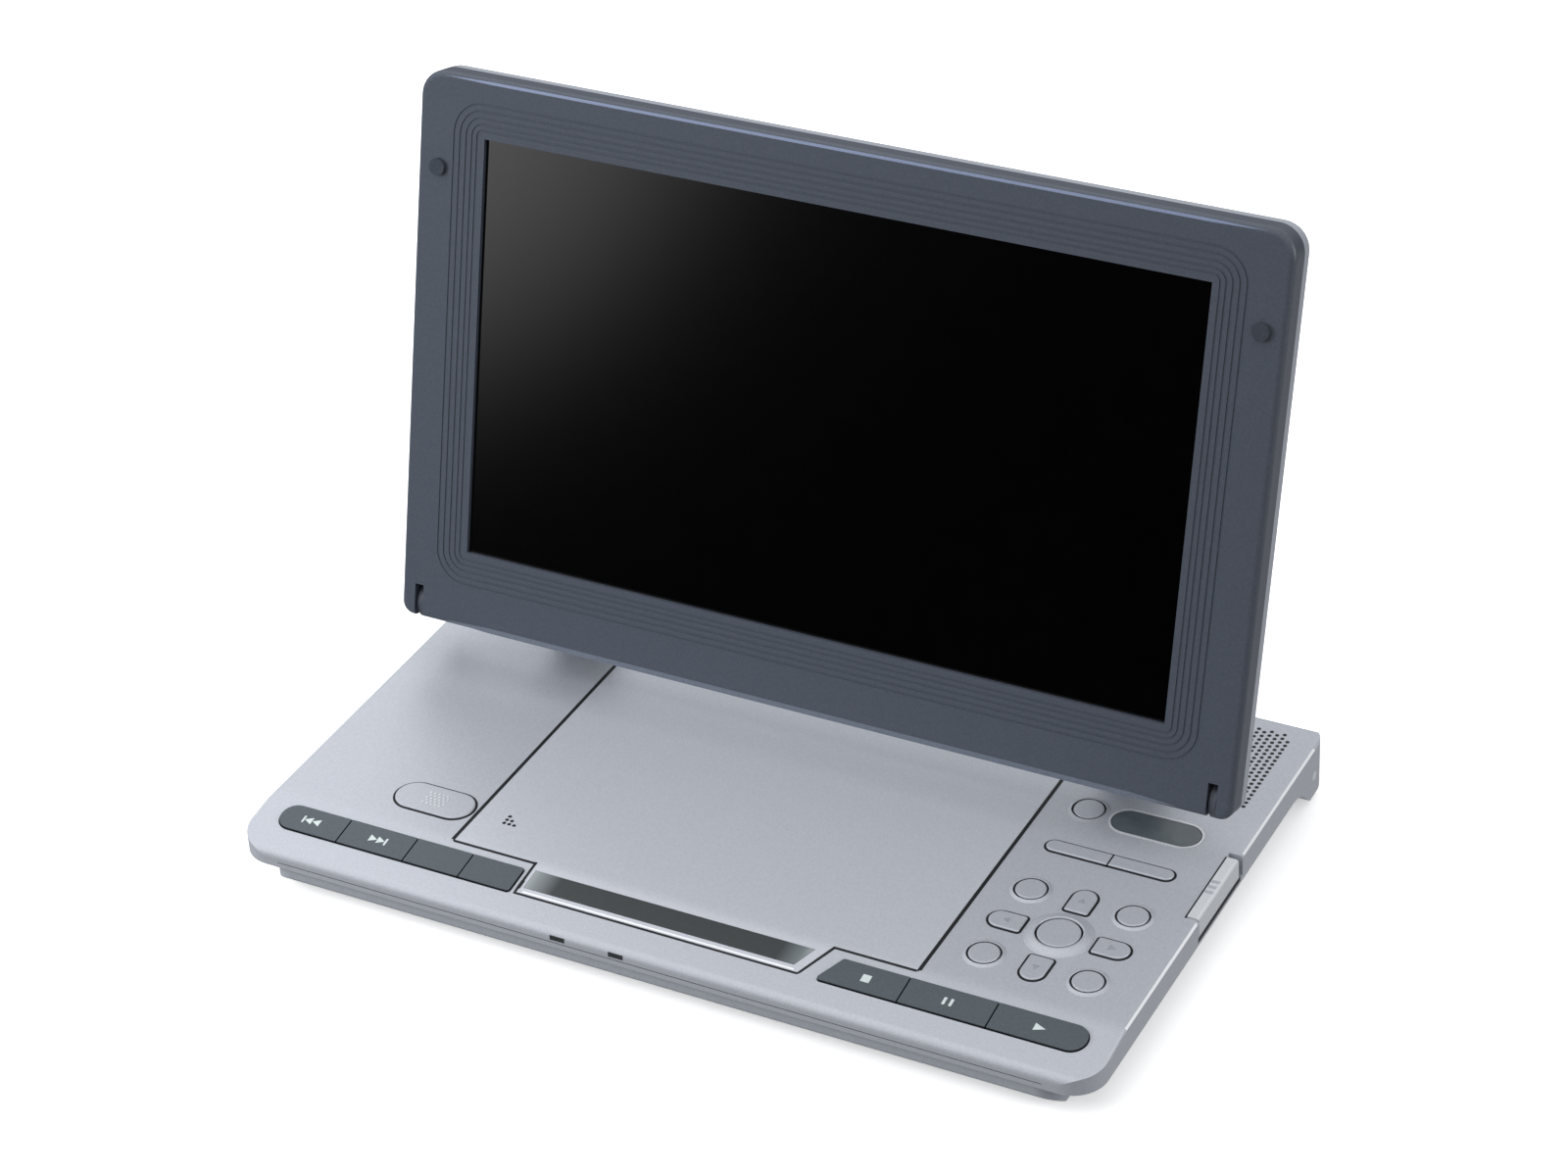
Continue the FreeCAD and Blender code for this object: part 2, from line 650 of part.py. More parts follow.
def top_keys(grow):
    """Outlines of the flat keys on the upper surface, by name."""
    def disc(x, y, radius):
        size = 2.0 * (radius + grow)
        return pill(x, y, size, size)

    step = PAD_STEP
    split = STRIP_SPLIT / 2.0 if grow == 0 else -grow
    low = ROCKER_Y - ROCKER_W / 2.0 - grow
    high = ROCKER_Y + ROCKER_W / 2.0 + grow
    end = ROCKER_W / 2.0 + grow
    return {
        "key_enter": disc(PAD_X, PAD_Y, ENTER_R),
        "key_right": arrow(0, grow),
        "key_up": arrow(1, grow),
        "key_left": arrow(2, grow),
        "key_down": arrow(3, grow),
        "key_title": disc(PAD_X - step, PAD_Y + step, ROUND_KEY_R),
        "key_menu": disc(PAD_X + step, PAD_Y + step, ROUND_KEY_R),
        "key_display": disc(PAD_X - step, PAD_Y - step, ROUND_KEY_R),
        "key_return": disc(PAD_X + step, PAD_Y - step, ROUND_KEY_R),
        "key_source": disc(SOURCE_X, SOURCE_Y, ROUND_KEY_R),
        "key_picture": [(ROCKER_X0 - grow, low, end), (ROCKER_SPLIT - split, low, 0),
                        (ROCKER_SPLIT - split, high, 0), (ROCKER_X0 - grow, high, end)],
        "key_sound": [(ROCKER_SPLIT + split, low, 0), (ROCKER_X1 + grow, low, end),
                      (ROCKER_X1 + grow, high, end), (ROCKER_SPLIT + split, high, 0)],
        "open_button": pill(OPEN_X, OPEN_Y, OPEN_L + 2.0 * grow, OPEN_W + 2.0 * grow),
    }


def foot_rear_y(z):
    """Rear surface of the foot at a height below its shoulder."""
    share = (z - CASE_BOTTOM) / (FOOT_SHOULDER_Z - CASE_BOTTOM)
    return FOOT_LOW_REAR + share * (REAR_Y - FOOT_LOW_REAR)


def cover_block():
    """The top cover and its rear foot before it is hollowed."""
    profile = prism_x([
        (FRONT_Y, SEAM_Z, 0), (FRONT_Y, TOP_Z - SLOPE_DROP, FRONT_EDGE_R), (CREASE_Y, TOP_Z, CREASE_R),
        (REAR_TOP_Y, TOP_Z, REAR_TOP_R), (REAR_Y, TOP_Z - REAR_SHOULDER_DROP, REAR_SHOULDER_R),
        (REAR_Y, FOOT_SHOULDER_Z, FOOT_SHOULDER_R), (FOOT_LOW_REAR, CASE_BOTTOM, FOOT_REAR_R),
        (FOOT_LOW_FRONT, CASE_BOTTOM, FOOT_FRONT_R), (FOOT_FRONT_Y, SEAM_Z, FOOT_FLARE_R),
    ], -HALF_W, HALF_W)
    plan = prism_z([
        (-HALF_W, FRONT_Y, FRONT_CORNER_R), (HALF_W, FRONT_Y, FRONT_CORNER_R),
        (HALF_W, REAR_Y, REAR_CORNER_R), (-HALF_W, REAR_Y, REAR_CORNER_R),
    ], 0, TOP_Z)
    edge_z = TOP_Z - EDGE_CHAMFER
    edge_x = HALF_W - EDGE_CHAMFER
    sides = prism_y([
        (-HALF_W, 0, 0), (HALF_W, 0, 0), (HALF_W, edge_z, 0),
        (edge_x, TOP_Z, 0), (-edge_x, TOP_Z, 0), (-HALF_W, edge_z, 0),
    ], FRONT_Y, REAR_Y)
    return profile.common(plan).common(sides)


def cover_cavity():
    """The room inside the top cover, down through the cells' door."""
    half = HALF_W - WALL
    front = FRONT_Y + WALL
    rear = REAR_Y - WALL
    profile = prism_x([
        (front, 0, 0), (front, skin_z(front) - WALL, 0), (CREASE_Y, SKIN_UNDER, CREASE_R),
        (REAR_TOP_Y - WALL, SKIN_UNDER, 0), (rear, TOP_Z - REAR_SHOULDER_DROP, 0), (rear, FOOT_SHOULDER_Z, 0),
        (FOOT_LOW_REAR, CASE_BOTTOM + WALL, 0), (CELL_DOOR[1], CASE_BOTTOM + WALL, 0), (CELL_DOOR[1], 0, 0),
        (CELL_DOOR[0], 0, 0), (CELL_DOOR[0], CASE_BOTTOM + FOOT_WALL, 0),
        (FOOT_FRONT_Y + FOOT_WALL, FOOT_SHOULDER_Z, 0), (FOOT_FRONT_Y - FOOT_WALL, FOOT_SHOULDER_Z, 0),
        (FOOT_FRONT_Y - FOOT_WALL, 0, 0),
    ], -half, half)
    plan = prism_z([
        (-half, front, FRONT_CORNER_R - WALL), (half, front, FRONT_CORNER_R - WALL),
        (half, rear, REAR_CORNER_R - WALL), (-half, rear, REAR_CORNER_R - WALL),
    ], 0, TOP_Z)
    return profile.common(plan)


def switch_space(side, low, grow):
    """Room round the power switch over its whole travel."""
    return box(SWITCH_X0 - KEY_GAP - grow, SWITCH_Y0 - KEY_GAP - grow, low, side,
               SWITCH_Y0 + SWITCH_L + SWITCH_TRAVEL + KEY_GAP + grow, TOP_Z + WALL)


def make_top_cover():
    body = cover_block().cut(cover_cavity())
    skin_mid = TOP_Z - WALL / 2.0
    pocket_floor = CHANNEL_FLOOR - CHANNEL_WALL
    pocket_front = CHANNEL_Y - CHANNEL_WALL
    half_wall = WALL / 2.0
    pockets = both_sides(prism_x([
        (pocket_front, pocket_floor, 0), (foot_rear_y(pocket_floor) - half_wall, pocket_floor, 0),
        (REAR_Y - half_wall, FOOT_SHOULDER_Z, 0), (REAR_Y - half_wall, TOP_Z - REAR_SHOULDER_DROP, 0),
        (REAR_TOP_Y - half_wall, skin_mid, 0), (pocket_front, skin_mid, 0),
    ], CHANNEL_X[0] - CHANNEL_WALL, CHANNEL_X[1] + CHANNEL_WALL))
    lid_blocks = both_sides(box(LID_HALF + LID_GAP, LID_PIN[0] - LID_BLOCK_D, SKIN_UNDER - LID_KNUCKLE_T,
                                LID_HALF + LID_GAP + LID_PIN_LEN / 2.0, LID_REAR + LID_GAP, skin_mid))
    below_skin = box(-HALF_W, FRONT_Y, SEAM_Z, HALF_W, REAR_Y, skin_mid)
    switch_room = switch_space(HALF_W - half_wall, SEAM_Z, WALL).common(below_skin)
    bosses = [post(x, y, FLOOR_TOP, skin_mid, BOSS_R) for x, y in SCREW_SPOTS]
    board_top = KEY_BOARD_Z + BOARD_T
    hangers = [post(x, y, board_top, skin_z(y) - half_wall, POST_R) for x, y in key_board_posts()]
    body = joined(body, *pockets, *lid_blocks, switch_room, *bosses, *hangers)

    channels = both_sides(box(CHANNEL_X[0], CHANNEL_Y, CHANNEL_FLOOR,
                              CHANNEL_X[1], REAR_Y + WALL, TOP_Z + WALL))
    pivot_bores = both_sides(pivot_pin())
    lid_bores = both_sides(rod_x(LID_PIN[0], LID_PIN[1], LID_HALF, LID_HALF + LID_PIN_LEN / 2.0, LID_PIN_R))
    screw_bores = [post(x, y, 0, FLOOR_TOP + SCREW_SHANK_LEN, SCREW_SHANK_R) for x, y in SCREW_SPOTS]
    key_holes = [prism_z(points, board_top, TOP_Z + WALL) for points in top_keys(KEY_GAP).values()]
    strip_holes = [prism_z(strip_hole(LEFT_ROW, 0.0), board_top, TOP_Z),
                   prism_z(strip_hole(RIGHT_ROW, RIGHT_KEYS_SLANT), board_top, TOP_Z)]
    label_seat = prism_z(pill(LABEL_X, LABEL_Y, LABEL_L + 2 * KEY_GAP, LABEL_W + 2 * KEY_GAP),
                         TOP_Z - LABEL_SINK, TOP_Z + WALL)
    switch_cut = switch_space(HALF_W + WALL, TOP_Z - SWITCH_H - SWITCH_LOW_GAP, 0.0)
    windows = [window(x, FRONT_Y - WALL, FRONT_Y + 2 * WALL) for x in WINDOW_XS]
    sockets = [rod_x(y, JACK_Z, -HALF_W - WALL, JACK_X + WALL, radius + JACK_COLLAR) for y, radius in JACKS]
    notch_half = WELL_HALF + SHELL_GAP
    well_notch = box(-notch_half, CREASE_Y, 0, notch_half, WELL_REAR + SHELL_GAP, DECK_TOP - SHELL_GAP)
    lid_hole = prism_z(lid_outline(LID_GAP), SEAM_Z, TOP_Z + WALL).common(top_skin())
    cuts = channels + pivot_bores + lid_bores + screw_bores + key_holes + strip_holes + windows + sockets
    return body.cut(cuts + [label_seat, switch_cut, well_notch, lid_hole]).removeSplitter()


def window(x, y0, y1):
    return box(x - WINDOW_W / 2.0, y0, WINDOW_Z, x + WINDOW_W / 2.0, y1, WINDOW_Z + WINDOW_H)


def pivot_pin():
    return rod_x(PIVOT[0], PIVOT[1], CHANNEL_X[0] - CHANNEL_WALL, CHANNEL_X[1] + CHANNEL_WALL, PIVOT_R)


def key_board_posts():
    """Places of the posts that hang the key boards from the upper surface."""
    front = STRIP_FRONT - KEY_FLANGE - POST_R - HANGER_FRONT_GAP
    half = PAD_STEP / 2.0
    behind = ROCKER_Y + ROCKER_W / 2.0 + KEY_FLANGE + POST_R + HANGER_REAR_GAP
    return [
        (LEFT_ROW[0] + HANGER_OUTER, front), (LEFT_ROW[1] - HANGER_INNER, front),
        (RIGHT_ROW[0] + HANGER_INNER, front), (RIGHT_ROW[1] - HANGER_OUTER, front),
        (PAD_X - half, PAD_Y - half), (PAD_X + half, PAD_Y + half),
        (ROCKER_X0 + HANGER_ROCKER, behind), (ROCKER_X1 - HANGER_ROCKER, behind),
    ]


def make_bottom_case():
    tray_x = HALF_W - TRAY_INSET
    front = FRONT_Y + TRAY_FRONT_GAP
    rear = FOOT_FRONT_Y - TRAY_FOOT_GAP
    tray = prism_x([
        (front, SEAM_Z, 0), (front, CASE_BOTTOM + TRAY_FRONT_RISE, TRAY_EDGE_R),
        (front + TRAY_UNDERCUT, CASE_BOTTOM, TRAY_FLOOR_R), (rear - TRAY_REAR_RUN, CASE_BOTTOM, TRAY_FLOOR_R),
        (rear, SEAM_Z, 0),
    ], -tray_x, tray_x)
    tray = tray.common(prism_z(rect(-tray_x, front, tray_x, rear, TRAY_CORNER_R), 0, SEAM_Z))
    room = prism_x([
        (front + WALL, SEAM_Z + PAST, 0), (front + WALL, CASE_BOTTOM + TRAY_FRONT_RISE + FLOOR / 2.0, 0),
        (front + TRAY_UNDERCUT + WALL / 2.0, FLOOR_TOP, 0), (rear - TRAY_REAR_RUN - WALL, FLOOR_TOP, 0),
        (rear - WALL, SEAM_Z + PAST, 0),
    ], WALL - tray_x, tray_x - WALL)
    flange_x = HALF_W - WALL - SHELL_GAP
    flange = prism_z(rect(-flange_x, FRONT_Y + WALL + SHELL_GAP, flange_x, FOOT_FRONT_Y - WALL - SHELL_GAP,
                          FRONT_CORNER_R - WALL), SEAM_Z, FLANGE_TOP)
    opening = prism_z(rect(WALL - tray_x, front + WALL, tray_x - WALL, rear - WALL), SEAM_Z, FLANGE_TOP)
    around = CHANNEL_WALL + SHELL_GAP
    relief = both_sides(box(CHANNEL_X[0] - around, CHANNEL_Y - around, CHANNEL_FLOOR - around,
                            CHANNEL_X[1] + around, REAR_Y, FLANGE_TOP + PAST))
    relief.append(switch_space(HALF_W, SEAM_Z, WALL + SHELL_GAP))
    relief += [jack_block(y, radius, SHELL_GAP) for y, radius in JACKS]
    bump = box(-WELL_HALF, DISC_Y, CASE_BOTTOM, WELL_HALF, WELL_REAR, SEAM_Z)
    bump_room = box(WELL_WALL - WELL_HALF, DISC_Y - PAST, FLOOR_TOP,
                    WELL_HALF - WELL_WALL, WELL_REAR - WELL_WALL, TOP_Z)
    body = joined(tray, flange, bump).cut([room, opening, bump_room] + relief)
    root = CASE_BOTTOM + FLOOR / 2.0
    deck_feet = [post(x, y, root, DECK_UNDER - GROMMET_H, BOSS_R) for x, y in DECK_SPOTS]
    standoffs = [post(x, y, root, MAIN_BOARD_Z, STANDOFF_R) for x, y in board_standoffs()]
    motor_rest = post(0, DISC_Y, root, FLOOR_TOP + MOTOR_FLOOR_GAP, MOTOR_REST_R)
    body = joined(body, *deck_feet, *standoffs, motor_rest)
    heads = [post(x, y, 0, CASE_BOTTOM + SCREW_HEAD_T, SCREW_HEAD_R + SCREW_HEAD_GAP) for x, y in SCREW_SPOTS]
    shanks = [post(x, y, 0, FLOOR_TOP + PAST, SCREW_SHANK_R + SCREW_HEAD_GAP) for x, y in SCREW_SPOTS]
    return body.cut(heads + shanks).removeSplitter()


def board_standoffs():
    return [(side * x, y) for side in (-1, 1) for x in (STANDOFF_MIDDLE, HALF_W - STANDOFF_SIDE)
            for y in (BOARD_FRONT_Y + STANDOFF_FRONT, BOARD_REAR_Y - STANDOFF_REAR)]


def make_case_screws():
    return [joined(post(x, y, CASE_BOTTOM, CASE_BOTTOM + SCREW_HEAD_T, SCREW_HEAD_R),
                   post(x, y, CASE_BOTTOM, FLOOR_TOP + SCREW_SHANK_LEN, SCREW_SHANK_R))
            for x, y in SCREW_SPOTS]


def make_lid():
    plate = prism_z(lid_outline(0), SEAM_Z, TOP_Z + WALL).common(top_skin())
    skin_mid = TOP_Z - WALL / 2.0
    pin_end = LID_HALF - LID_PIN_LEN / 2.0
    knuckles = both_sides(box(pin_end - LID_KNUCKLE_LAP, LID_PIN[0] - LID_KNUCKLE_D,
                              SKIN_UNDER - LID_KNUCKLE_T, LID_HALF, LID_REAR, skin_mid))
    catch_front = LATCH_BACK_Y + CATCH_GAP
    catch = box(LATCH_X + CATCH_MARGIN, catch_front, SKIN_UNDER - LATCH_DROP,
                LATCH_X + LATCH_W - CATCH_MARGIN, catch_front + CATCH_T, skin_mid)
    bores = both_sides(rod_x(LID_PIN[0], LID_PIN[1], pin_end - RUN_FIT, LID_HALF + PAST, LID_PIN_R + RUN_FIT))
    return joined(plate, *knuckles, catch).cut(bores + [inlay_shape(INLAY_GAP)]).removeSplitter()


def make_latch():
    return box(LATCH_X, CREASE_Y - LATCH_FRONT, SKIN_UNDER - LATCH_DROP,
               LATCH_X + LATCH_W, LATCH_BACK_Y, SKIN_UNDER - LATCH_DROP + LATCH_T)


def inlay_shape(grow):
    """The dark strip let into the tongue of the lid."""
    front = CREASE_Y - TONGUE_DEPTH + INLAY_FRONT_MARGIN - grow
    back = CREASE_Y - INLAY_MARGIN + grow
    left = TONGUE_LEFT + INLAY_LEFT_MARGIN - grow
    right = TONGUE_RIGHT_LOW - INLAY_FRONT_MARGIN + grow
    slant = TONGUE_SLANT / TONGUE_DEPTH * (back - front)
    block = prism_z([(left, front, 0), (right, front, 0), (right + slant, back, 0), (left, back, 0)],
                    SEAM_Z, TOP_Z)
    layer = prism_x([(FRONT_Y, skin_z(FRONT_Y), 0), (CREASE_Y, TOP_Z, 0), (CREASE_Y, TOP_Z - INLAY_T, 0),
                     (FRONT_Y, skin_z(FRONT_Y) - INLAY_T, 0)], -HALF_W, HALF_W)
    return block.common(layer)


def key_bottom():
    return KEY_BOARD_Z + BOARD_T + KEY_TRAVEL + KEY_BOTTOM_GAP


def make_strip_key(points):
    bottom = key_bottom()
    cap = prism_z(points, bottom, TOP_Z + KEY_PROUD)
    under = prism_x([(FRONT_Y, skin_z(FRONT_Y) + KEY_PROUD, 0), (CREASE_Y, TOP_Z + KEY_PROUD, 0),
                     (CREASE_Y, bottom - PAST, 0), (FRONT_Y, bottom - PAST, 0)], -HALF_W, HALF_W)
    xs = [p[0] for p in points]
    flange_top = skin_z(STRIP_FRONT - KEY_FLANGE) - WALL - SHELL_GAP
    flange = box(min(xs) + STRIP_FLANGE_INSET, STRIP_FRONT - KEY_FLANGE, bottom,
                 max(xs) - STRIP_FLANGE_INSET, STRIP_FRONT + STRIP_DEPTH + KEY_FLANGE, flange_top)
    return joined(cap.common(under), flange)


def make_top_key(name):
    proud = ENTER_PROUD if name == "key_enter" else KEY_PROUD
    outline_now = top_keys(0.0)[name]
    cap = prism_z(outline_now, key_bottom(), TOP_Z + proud)
    rim = [e for e in cap.Edges if min(v.Z for v in e.Vertexes) > TOP_Z + proud / 2.0]
    cap = cap.makeFillet(KEY_EDGE_R, rim)
    flange_top = SKIN_UNDER - SHELL_GAP
    if name in ("key_picture", "key_sound"):
        xs = [p[0] for p in outline_now]
        reach = ROCKER_W / 2.0 + KEY_FLANGE
        flange = box(min(xs) + ROCKER_FLANGE_INSET, ROCKER_Y - reach, flange_top - KEY_FLANGE_T,
                     max(xs) - ROCKER_FLANGE_INSET, ROCKER_Y + reach, flange_top)
    else:
        flange = prism_z(top_keys(KEY_GAP + KEY_FLANGE)[name], flange_top - KEY_FLANGE_T, flange_top)
    return joined(cap, flange)


def make_power_switch():
    top = TOP_Z + SWITCH_PROUD
    block = box(SWITCH_X0, SWITCH_Y0, TOP_Z - SWITCH_H, SWITCH_X1, SWITCH_Y0 + SWITCH_L, top)
    outer_edge = [e for e in block.Edges if min(v.Z for v in e.Vertexes) > top - TINY
                  and min(v.X for v in e.Vertexes) > SWITCH_X1 - TINY]
    return block.makeFillet(SWITCH_EDGE_R, outer_edge)


def key_boards(grow):
    """The two boards under the keys, left and right."""
    front = STRIP_FRONT - KEY_BOARD_FRONT - grow
    back = STRIP_FRONT + STRIP_DEPTH + KEY_BOARD_BACK + grow
    z0 = KEY_BOARD_Z - grow
    z1 = KEY_BOARD_Z + BOARD_T + grow
    inner = BOSS_X + BOSS_R + BOSS_GAP - grow
    right_rear = LABEL_Y + LABEL_W / 2.0 + KEY_BOARD_REAR + grow
    right = joined(box(RIGHT_ROW[0] - grow, front, z0, RIGHT_ROW[1] + grow, back, z1),
                   box(inner, back, z0, RIGHT_ROW[1] + grow, right_rear, z1))
    left = joined(box(LEFT_ROW[0] - grow, front, z0, LEFT_ROW[1] + grow, back, z1),
                  box(OPEN_X - OPEN_L / 2.0 - grow, back, z0, -inner, OPEN_Y + OPEN_W / 2.0 + grow, z1))
    return [left, right]


def make_deck():
    half = RIM_HALF - DECK_SIDE_INSET
    tab_left = -ROD_X - HOLDER_W / 2.0 - TAB_MARGIN
    tab_right = SCREW_X + NUT_HOLDER_W / 2.0 + TAB_MARGIN
    plate = joined(prism_z(well_outline(0.0), DECK_UNDER, DECK_TOP),
                   box(-half, RIM_FRONT + DECK_END_INSET, DECK_UNDER,
                       half, LID_REAR - DECK_END_INSET, DECK_TOP),
                   box(tab_left, ROD_ENDS[0] - HOLDER_D / 2.0, DECK_UNDER, tab_right, DISC_Y, DECK_TOP))
    inside = prism_z(well_outline(-WELL_RIM), DECK_UNDER - PAST, TOP_Z)
    rim = prism_z(well_outline(0.0), DECK_UNDER, TOP_Z).cut(inside).common(under_skin(SHELL_GAP))
    spots = [(x, y, HOLDER_W) for x in (-ROD_X, ROD_X) for y in ROD_ENDS]
    spots.append((SCREW_X, ROD_ENDS[0], NUT_HOLDER_W))
    holders = [box(x - width / 2.0, y - HOLDER_D / 2.0, ROD_Z - HOLDER_DROP,
                   x + width / 2.0, y + HOLDER_D / 2.0, DECK_UNDER + DECK_T / 2.0) for x, y, width in spots]
    body = joined(plate, rim, *holders)
    rods = [rod_y(x, ROD_Z, ROD_ENDS[0] - HOLDER_D, ROD_ENDS[1] + HOLDER_D, ROD_R) for x in (-ROD_X, ROD_X)]
    screw_bore = rod_y(SCREW_X, ROD_Z, ROD_ENDS[0] - HOLDER_D, ROD_ENDS[0] + HOLDER_D, SCREW_R + RUN_FIT)
    tower = TOWER_D / 2.0 + TOWER_ROOM
    slot_half = TOWER_W / 2.0 + TOWER_ROOM
    lens_y = DISC_Y - PICKUP_REST
    slot = box(-slot_half, lens_y - PICKUP_TRAVEL - tower, DECK_UNDER - PAST,
               slot_half, lens_y + tower, DECK_TOP)
    spindle_hole = post(0, DISC_Y, 0, TOP_Z, SPINDLE_HOLE_R)
    grommet_holes = [post(x, y, 0, DECK_TOP, DECK_SPOT_R) for x, y in DECK_SPOTS]
    cuts = rods + grommet_holes + key_boards(SHELL_GAP) + [screw_bore, slot, spindle_hole]
    return body.cut(cuts).removeSplitter()


def make_grommets():
    return [post(x, y, DECK_UNDER - GROMMET_H, DECK_UNDER, GROMMET_R).cut(
        post(x, y, 0, DECK_UNDER, DECK_SPOT_R)) for x, y in DECK_SPOTS]


def make_turntable():
    seat_z = DECK_TOP + SEAT_LIFT
    seat = post(0, DISC_Y, seat_z, seat_z + SEAT_T, TURNTABLE_R)
    hub = Part.makeCone(HUB_R, HUB_R - HUB_TAPER, HUB_H - SEAT_T, V(0, DISC_Y, seat_z + SEAT_T), V(0, 0, 1))
    spindle = post(0, DISC_Y, DECK_UNDER - SPINDLE_DEPTH, seat_z + SEAT_T, SPINDLE_R)
    return joined(seat, hub, spindle)


def make_spindle_motor():
    can = post(0, DISC_Y, FLOOR_TOP + MOTOR_FLOOR_GAP, DECK_UNDER, MOTOR_R)
    bearing = post(0, DISC_Y, FLOOR_TOP + MOTOR_FLOOR_GAP, DECK_UNDER + BEARING_RISE, BEARING_R)
    bore = post(0, DISC_Y, DECK_UNDER - SPINDLE_DEPTH - SHELL_GAP, TOP_Z, SPINDLE_R + RUN_FIT)
    return joined(can, bearing).cut(bore)


def make_sled_motor():
    start = ROD_ENDS[1] + SLED_MOTOR_GAP
    can = rod_y(SCREW_X, ROD_Z, start, start + SLED_MOTOR_LEN, SLED_MOTOR_R)
    bracket_y = start + (SLED_MOTOR_LEN - SLED_BRACKET_D) / 2.0
    bracket = box(SCREW_X - SLED_BRACKET_W / 2.0, bracket_y, ROD_Z, SCREW_X + SLED_BRACKET_W / 2.0,
                  bracket_y + SLED_BRACKET_D, DECK_UNDER)
    return joined(can, bracket)


def make_pickup():
    y = DISC_Y - PICKUP_REST
    low = ROD_Z - PICKUP_DROP
    high = DECK_UNDER - SHELL_GAP
    half = PICKUP_W / 2.0
    block = box(-half, y - PICKUP_D / 2.0, low, half, y + PICKUP_D / 2.0, high)
    tower = box(-TOWER_W / 2.0, y - TOWER_D / 2.0, low,
                TOWER_W / 2.0, y + TOWER_D / 2.0, DECK_TOP - TOWER_SINK)
    nut = box(half - PAST, y - NUT_D / 2.0, low, SCREW_X - SCREW_R - NUT_GAP, y + NUT_D / 2.0, high)
    bores = [rod_y(x, ROD_Z, y - PICKUP_D, y + PICKUP_D, ROD_R + RUN_FIT) for x in (-ROD_X, ROD_X)]
    lens_seat = post(0, y, DECK_TOP - LENS_SINK, TOP_Z, LENS_R)
    return joined(block, tower, nut).cut(bores + [lens_seat]).removeSplitter()


def active_rect(grow, radius=0.0):
    """The picture area, grown by some margin, in the screen's own frame."""
    half = ACTIVE_HALF + grow
    return rect(-half, BEZEL_LOW - grow, half, ACTIVE_TOP + grow, max(radius, 0.0))


def screen_screw_spots():
    return [(side * (SCREEN_HALF - SCREEN_SCREW_SIDE), u) for side in (-1, 1)
            for u in (SCREEN_SCREW_LOW, SCREEN_H - SCREEN_SCREW_TOP)]


def screen_face(inset):
    half = SCREEN_HALF - inset
    foot_r = SCREEN_FOOT_R - min(inset, SCREEN_FOOT_R / 2.0)
    top_r = SCREEN_CORNER_R - inset
    top = SCREEN_H - inset
    return [(-half, inset, foot_r), (half, inset, foot_r), (half, top, top_r), (-half, top, top_r)]


def knuckle_slots():
    reach = KNUCKLE_T / 2.0 + SLOT_GAP
    return both_sides(box(KNUCKLE_X - reach, -PAST, -PAST, KNUCKLE_X + reach, SCREEN_T + PAST,
                          AXLE_U + KNUCKLE_R + SLOT_GAP))


def tilt_pin(side):
    x = side * KNUCKLE_X - TILT_PIN_LEN / 2.0
    return Part.makeCylinder(TILT_PIN_R, TILT_PIN_LEN, V(x, AXLE_D, AXLE_U), V(1, 0, 0))


def make_bezel():
    bezel = prism_y(screen_face(0.0), 0, BEZEL_T)
    front_edges = [e for e in bezel.Edges if max(v.Y for v in e.Vertexes) < TINY]
    bezel = bezel.makeFillet(BEZEL_EDGE_R, front_edges)
    view = prism_y(active_rect(0.0), -PAST, BEZEL_T)
    panel_seat = prism_y(active_rect(GLASS_LAP + GLASS_GAP), BEZEL_LIP, PANEL_BACK)
    module_seat = prism_y(active_rect(MODULE_LAP + GLASS_GAP), PANEL_BACK, BEZEL_T + PAST)
    rings = []
    for offset in GROOVES:
        ring = prism_y(active_rect(offset + GROOVE_W / 2.0, offset), -PAST, GROOVE_DEPTH)
        inside = prism_y(active_rect(offset - GROOVE_W / 2.0, offset - GROOVE_W),
                         -2 * PAST, GROOVE_DEPTH + PAST)
        rings.append(ring.cut(inside))
    pads = both_sides(rod_y(BUMPER_X, BUMPER_U, -PAST, BUMPER_SINK, BUMPER_R))
    screw_ends = [rod_y(x, u, BEZEL_T - SCREEN_SCREW_BITE - SHELL_GAP, BEZEL_T + PAST, SCREW_SHANK_R)
                  for x, u in screen_screw_spots()]
    pin_bores = [tilt_pin(side) for side in (-1, 1)]
    cuts = [view, panel_seat, module_seat] + rings + knuckle_slots() + pads + screw_ends + pin_bores
    return bezel.cut(cuts).removeSplitter()


